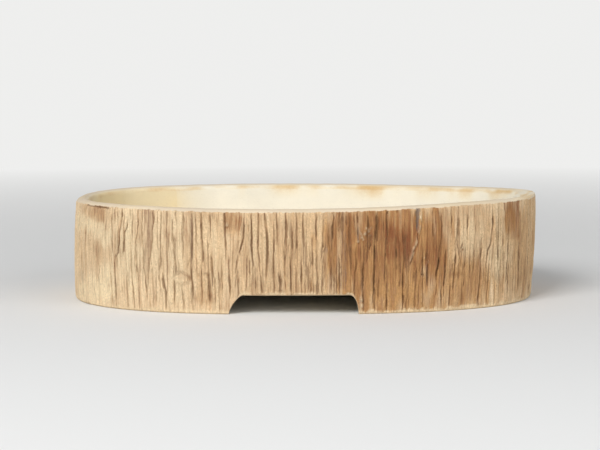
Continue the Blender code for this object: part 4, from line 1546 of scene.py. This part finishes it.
def floor_sheet(sizes, oval, holes):
    """One face of the floor: a square grid inside the oval, its points near a hole moved to its edge."""
    step = FLOOR_STEP
    inset = sizes.wall + 0.0004
    xs = np.arange(-oval.half_length, oval.half_length + step, step)
    ys = np.arange(-oval.half_depth, oval.half_depth + step, step)
    x, y = np.meshgrid(xs, ys)
    place = np.stack([x.ravel(), y.ravel()], axis=1)
    inside = np.abs(place[:, 0] / (oval.half_length - inset)) ** oval.power
    inside = inside + np.abs(place[:, 1] / (oval.half_depth - inset)) ** oval.power
    keep = inside < 1.0
    edge = np.zeros(len(place))
    for centre_x, centre_y, radius in holes:
        from_hole = place - (centre_x, centre_y)
        away = np.linalg.norm(from_hole, axis=1)
        keep &= away > radius - 0.45 * step
        snap = (away < radius + 0.45 * step) & (away > 0)
        place[snap] = (centre_x, centre_y) + from_hole[snap] * (radius / away[snap])[:, None]
        edge = np.maximum(edge, 1.0 - smooth_step((away - radius) / 0.0035))
    return place, keep, edge, x.shape


class POT_OT_floor(bpy.types.Operator):
    """Build the floor slab with its drain holes and holes for tie wires"""

    bl_idname = "pot.floor"
    bl_label = "Floor slab"

    def execute(self, context):
        """Two sheets of one grid, joined round the outer edge and round every hole."""
        sizes = context.scene.pot_sizes
        oval = OvalPath(sizes)
        holes = [(side * sizes.drain_spacing / 2, 0.0, sizes.drain_diameter / 2) for side in (-1, 1)]
        for side in (-1, 1):
            for back in (-1, 1):
                tie = (side * sizes.tie_spacing_x / 2, back * sizes.tie_spacing_y / 2, sizes.tie_diameter / 2)
                holes.append(tie)
        place, keep, edge, shape = floor_sheet(sizes, oval, holes)
        quads = grid_quads(*shape, False, False)
        quads = quads[keep[quads].all(axis=1)]
        used = np.unique(quads)
        number_of = np.full(len(place), -1)
        number_of[used] = np.arange(len(used))
        quads = number_of[quads]
        place = place[used]
        edge = edge[used]
        wave = oval.mottle(place[:, 0], place[:, 1], 0.040, 0.030, 72)
        fine = oval.mottle(place[:, 0], place[:, 1], 0.012, 0.009, 73)
        top = sizes.floor_top + 0.00012 * wave + 0.00008 * fine - 0.0011 * edge**2
        under = sizes.floor_top - sizes.floor_thickness + 0.0002 * wave + 0.0006 * edge**2
        count = len(place)
        points = np.concatenate([np.column_stack([place, top]), np.column_stack([place, under])])
        sides = np.concatenate([quads[:, [0, 1]], quads[:, [1, 2]], quads[:, [2, 3]], quads[:, [3, 0]]])
        code = np.sort(sides, axis=1) @ np.array([count, 1])
        _, back_to, times = np.unique(code, return_inverse=True, return_counts=True)
        rim = sides[times[back_to] == 1]
        walls = np.stack([rim[:, 1], rim[:, 0], rim[:, 0] + count, rim[:, 1] + count], axis=1)
        faces = [np.concatenate([quads, quads[:, ::-1] + count, walls])]
        material = shared_material("pot_inner_clay", smooth_clay_material)
        piece = new_piece("floor", points, faces, material, "floor_slab")
        piece.data.set_sharp_from_angle(angle=radians(60))
        return {"FINISHED"}


def pressed_coil(oval, walked, depth, level, lift, toe, wall, into):
    """A coil's section carried along the oval, its back closed inside the clay that it is pressed on.

    Depth is measured behind the pot's outer face. The first row goes on into the wall with a lift.
    The last two run at the level into, from past the toe to behind the wall's inner face.
    """
    flat = 0.0 * walked
    depth = np.concatenate([depth[:1] - COIL_PRESS, depth, depth[-1:] + toe, flat + wall - COIL_PRESS])
    level = np.concatenate([level[:1] + lift, level, flat + into, flat + into])
    x, y, normal_x, normal_y = oval.at(walked)
    return np.stack([x - normal_x * depth, y - normal_y * depth, level], axis=-1)


class POT_OT_coils(bpy.types.Operator):
    """Build the luting coils: one round the floor, two under it"""

    bl_idname = "pot.coils"
    bl_label = "Luting coils"

    def execute(self, context):
        """Hollow quarter rounds pressed into the corners, with finger marks along them."""
        sizes = context.scene.pot_sizes
        oval = OvalPath(sizes)
        material = shared_material("pot_inner_clay", smooth_clay_material)
        turn = np.radians(np.linspace(0.0, 90.0, 12))[:, None]
        corner = self.corner(sizes, oval, turn)
        faces = [grid_quads(*corner.shape[:2], True, True)]
        new_piece("corner_coil", corner, faces, material, "inner_corner_coil")
        left = oval.front_walk(sizes.arch_left - 0.008)
        right = oval.front_walk(sizes.arch_right + 0.008)
        half = oval.girth / 2
        for side, start, end in (("left", -half - left, left), ("right", right, half - right)):
            points = self.foot(sizes, oval, turn, np.linspace(start, end, 480)[None, :])
            capped_piece("foot_coil_" + side, points, material, side + "_foot_coil")
        return {"FINISHED"}

    def corner(self, sizes, oval, turn):
        """The coil on the floor, closed all the way round."""
        walked = np.linspace(0.0, oval.girth, 901)[None, :-1]
        size = sizes.corner_coil * (1.0 + 0.07 * oval.ripple(walked, 0.013, 81))
        depth = sizes.wall + size - size * np.cos(turn) - 0.0002
        level = sizes.floor_top + size - size * np.sin(turn) + 0.0001
        into = sizes.floor_top - COIL_PRESS
        return pressed_coil(oval, walked, depth, level, 0.0006, 0.0006, sizes.wall, into)

    def foot(self, sizes, oval, turn, walked):
        """A coil under the floor, thumbed every centimetre or so and thinned out at its ends."""
        under = sizes.floor_top - sizes.floor_thickness
        thumb = np.abs(np.sin(walked / 0.0065 + 1.3 * oval.ripple(walked, 0.05, 82)))
        along = np.linspace(0.0, 1.0, walked.shape[1])[None, :]
        ends = np.clip(np.minimum(along, 1 - along) * 30, 0.0, 1.0) ** 0.5
        size = sizes.foot_coil * (0.30 + 0.70 * ends) * (0.90 + 0.14 * thumb)
        swell = 0.35 + 0.25 * thumb
        flat = size * (1 - turn / (pi / 2))
        depth = sizes.wall + (1 - swell) * (size - size * np.cos(turn)) + swell * (size - flat) - 0.0002
        drop = (1 - swell) * (size - size * np.sin(turn)) + swell * flat
        into = under + COIL_PRESS
        return pressed_coil(oval, walked, depth, under - drop, -0.0004, 0.0005, sizes.wall, into)[::-1]


class POT_OT_screens(bpy.types.Operator):
    """Build the square net over each drain hole"""

    bl_idname = "pot.screens"
    bl_label = "Drain screens"

    def execute(self, context):
        """Round strands both ways, each swollen where it meets another, as a moulded net is."""
        sizes = context.scene.pot_sizes
        gaps = 9
        round_sides = 8
        half = gaps * sizes.screen_pitch / 2
        radius = sizes.screen_strand / 2
        level = sizes.floor_top + 0.0003 + radius
        lines = np.linspace(-half, half, gaps + 1)
        rings = np.linspace(-half - 0.9 * radius, half + 0.9 * radius, gaps * 6 + 3)
        turn = np.linspace(0.0, 2 * pi, round_sides + 1)[:-1]
        near = np.abs(rings[:, None] - lines[None, :]).min(axis=1)
        swell = radius * (0.86 + 0.30 * np.exp(-((near / 0.0009) ** 2)))
        swell[[0, -1]] *= 0.6
        aside = lines[:, None, None] + swell[None, :, None] * np.cos(turn)
        along = np.broadcast_to(rings[None, :, None], aside.shape)
        height = np.broadcast_to(level + np.minimum(swell, radius)[None, :, None] * np.sin(turn), aside.shape)
        first = np.stack([along, aside, height], axis=-1)
        second = np.stack([-aside, along, height], axis=-1)
        strands = np.concatenate([first, second]).transpose(0, 2, 1, 3)
        count = len(rings)
        round_points = round_sides * count
        quads = grid_quads(round_sides, count, True, False)[:, ::-1]
        fans = end_fans(round_sides, count, round_points)[:, ::-1]
        shifts = np.arange(len(strands))[:, None, None] * (round_points + 2)
        faces = [(quads[None] + shifts).reshape(-1, 4), (fans[None] + shifts).reshape(-1, 3)]
        middles = strands[:, :, [0, -1]].mean(axis=1)
        points = np.concatenate([strands.reshape(len(strands), -1, 3), middles], axis=1).reshape(-1, 3)
        material = shared_material("pot_screen_plastic", net_material)
        for side, name in ((-1, "left"), (1, "right")):
            moved = points + (side * sizes.drain_spacing / 2, 0.0, 0.0)
            new_piece("screen_" + name, moved, faces, material, "drain_screen_" + name)
        return {"FINISHED"}


class POT_OT_clips(bpy.types.Operator):
    """Give the wire clips their metal"""

    bl_idname = "pot.clips"
    bl_label = "Wire clips"

    def execute(self, context):
        """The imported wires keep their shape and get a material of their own."""
        material = shared_material("pot_clip_wire", wire_material)
        for name in ("screen_clip_left", "screen_clip_right"):
            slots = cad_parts[name].data.materials
            slots.clear()
            slots.append(material)
        return {"FINISHED"}


class POT_OT_stage(bpy.types.Operator):
    """Set up the pale floor, the soft light and the camera of the picture"""

    bl_idname = "pot.stage"
    bl_label = "Stage"

    def execute(self, context):
        """A floor that curves up into a backdrop, a large lamp from the upper left, and fill."""
        scene = context.scene
        scene.view_settings.view_transform = "Standard"
        self.sweep(scene.pot_colours)
        for name, (place, size, power) in LAMPS.items():
            self.lamp(name, place, size, power)
        world = bpy.data.worlds.new("soft_fill")
        world.use_nodes = True
        world.node_tree.nodes["Background"].inputs["Color"].default_value = WORLD_COLOUR
        world.node_tree.nodes["Background"].inputs["Strength"].default_value = WORLD_STRENGTH
        scene.world = world
        camera = bpy.data.cameras.new("camera")
        camera.lens = LENS
        camera.sensor_width = SENSOR_WIDTH
        camera.clip_start, camera.clip_end = CAMERA_CLIP
        holder = bpy.data.objects.new("camera", camera)
        holder.matrix_world = Matrix.Translation(CAMERA_PLACE) @ camera_turn().to_4x4()
        scene.collection.objects.link(holder)
        scene.camera = holder
        return {"FINISHED"}

    def sweep(self, colours):
        """The floor runs level to the back, turns up in a quarter round and stands as a backdrop."""
        radius = STAGE_ROUND
        turn = np.linspace(0.0, pi / 2, 25)
        level_part = [STAGE_FRONT, STAGE_FRONT / 2, 0.0]
        y = np.concatenate([level_part, STAGE_TURN + radius * np.sin(turn), [STAGE_TURN + radius]])
        z = np.concatenate([[0.0, 0.0, 0.0], radius - radius * np.cos(turn), [STAGE_TOP]])
        x = np.linspace(-STAGE_SIDE, STAGE_SIDE, 9)
        points = np.stack(np.broadcast_arrays(x[None, :], y[:, None], z[:, None]), axis=-1)
        mesh = bpy.data.meshes.new("stage_floor")
        quads = grid_quads(len(y), len(x), False, False)
        mesh.from_pydata(points.reshape(-1, 3).tolist(), [], quads.tolist())
        mesh.shade_smooth()
        material, shader, nodes, place = new_material("stage_floor")
        tone = nodes.rescale(nodes.noise(place, 2.0, 2.0), 0.0, 1.0, 0.99, 1.01)
        links = material.node_tree.links
        links.new(nodes.toned(tuple(colours.floor), tone), shader.inputs["Base Color"])
        shader.inputs["Roughness"].default_value = 0.9
        path = nodes.add("ShaderNodeLightPath").outputs
        mirrored = nodes.maths("MAXIMUM", path["Is Glossy Ray"], path["Is Transmission Ray"])
        seen = nodes.maths("MAXIMUM", path["Is Camera Ray"], mirrored)
        away = nodes.add("ShaderNodeVectorMath", {"operation": "LENGTH"}, i0=place).outputs["Value"]
        far = nodes.times(nodes.rescale(away, 0.35, 1.9, 0.0, 1.0), seen)
        glow = nodes.add("ShaderNodeEmission", None, Color=STAGE_GLOW, Strength=1.0)
        surface = nodes.add("ShaderNodeMixShader", None, i0=far, i1=shader.outputs[0], i2=glow.outputs[0])
        links.new(surface.outputs[0], material.node_tree.nodes["Material Output"].inputs["Surface"])
        mesh.materials.append(material)
        floor = bpy.data.objects.new("stage_floor", mesh)
        bpy.context.scene.collection.objects.link(floor)

    def lamp(self, name, place, size, power):
        """A large soft lamp that faces the pot."""
        light = bpy.data.lights.new(name, "AREA")
        light.size = size
        light.energy = power
        holder = bpy.data.objects.new(name, light)
        turn = (Vector(LAMP_AIM) - Vector(place)).to_track_quat("-Z", "Y").to_matrix().to_4x4()
        holder.matrix_world = Matrix.Translation(place) @ turn
        bpy.context.scene.collection.objects.link(holder)


class POT_PT_panel(bpy.types.Panel):
    """Lists the pot's operators, sizes and colours in the sidebar"""

    bl_label = "Bark pot"
    bl_idname = "POT_PT_panel"
    bl_space_type = "VIEW_3D"
    bl_region_type = "UI"
    bl_category = "Pot"

    def draw(self, context):
        """One button for each operator, then the sizes and the colours."""
        for operator in OPERATORS:
            self.layout.operator(operator.bl_idname)
        for group in (context.scene.pot_sizes, context.scene.pot_colours):
            box = self.layout.box()
            for name in group.__annotations__:
                box.prop(group, name)


OPERATORS = (POT_OT_stage, POT_OT_walls, POT_OT_floor, POT_OT_coils, POT_OT_screens, POT_OT_clips)
CLASSES = (PotSizes, PotColours, *OPERATORS, POT_PT_panel)


def register():
    """Add the classes and the pot's settings."""
    for item in CLASSES:
        bpy.utils.register_class(item)
    bpy.types.Scene.pot_sizes = bpy.props.PointerProperty(type=PotSizes)
    bpy.types.Scene.pot_colours = bpy.props.PointerProperty(type=PotColours)


def unregister():
    """Take the settings and the classes away again."""
    del bpy.types.Scene.pot_colours
    del bpy.types.Scene.pot_sizes
    for item in reversed(CLASSES):
        bpy.utils.unregister_class(item)


def main():
    """Build everything in order."""
    register()
    bpy.ops.pot.stage()
    bpy.ops.pot.walls()
    bpy.ops.pot.floor()
    bpy.ops.pot.coils()
    bpy.ops.pot.screens()
    bpy.ops.pot.clips()


if __name__ == "__main__":
    main()
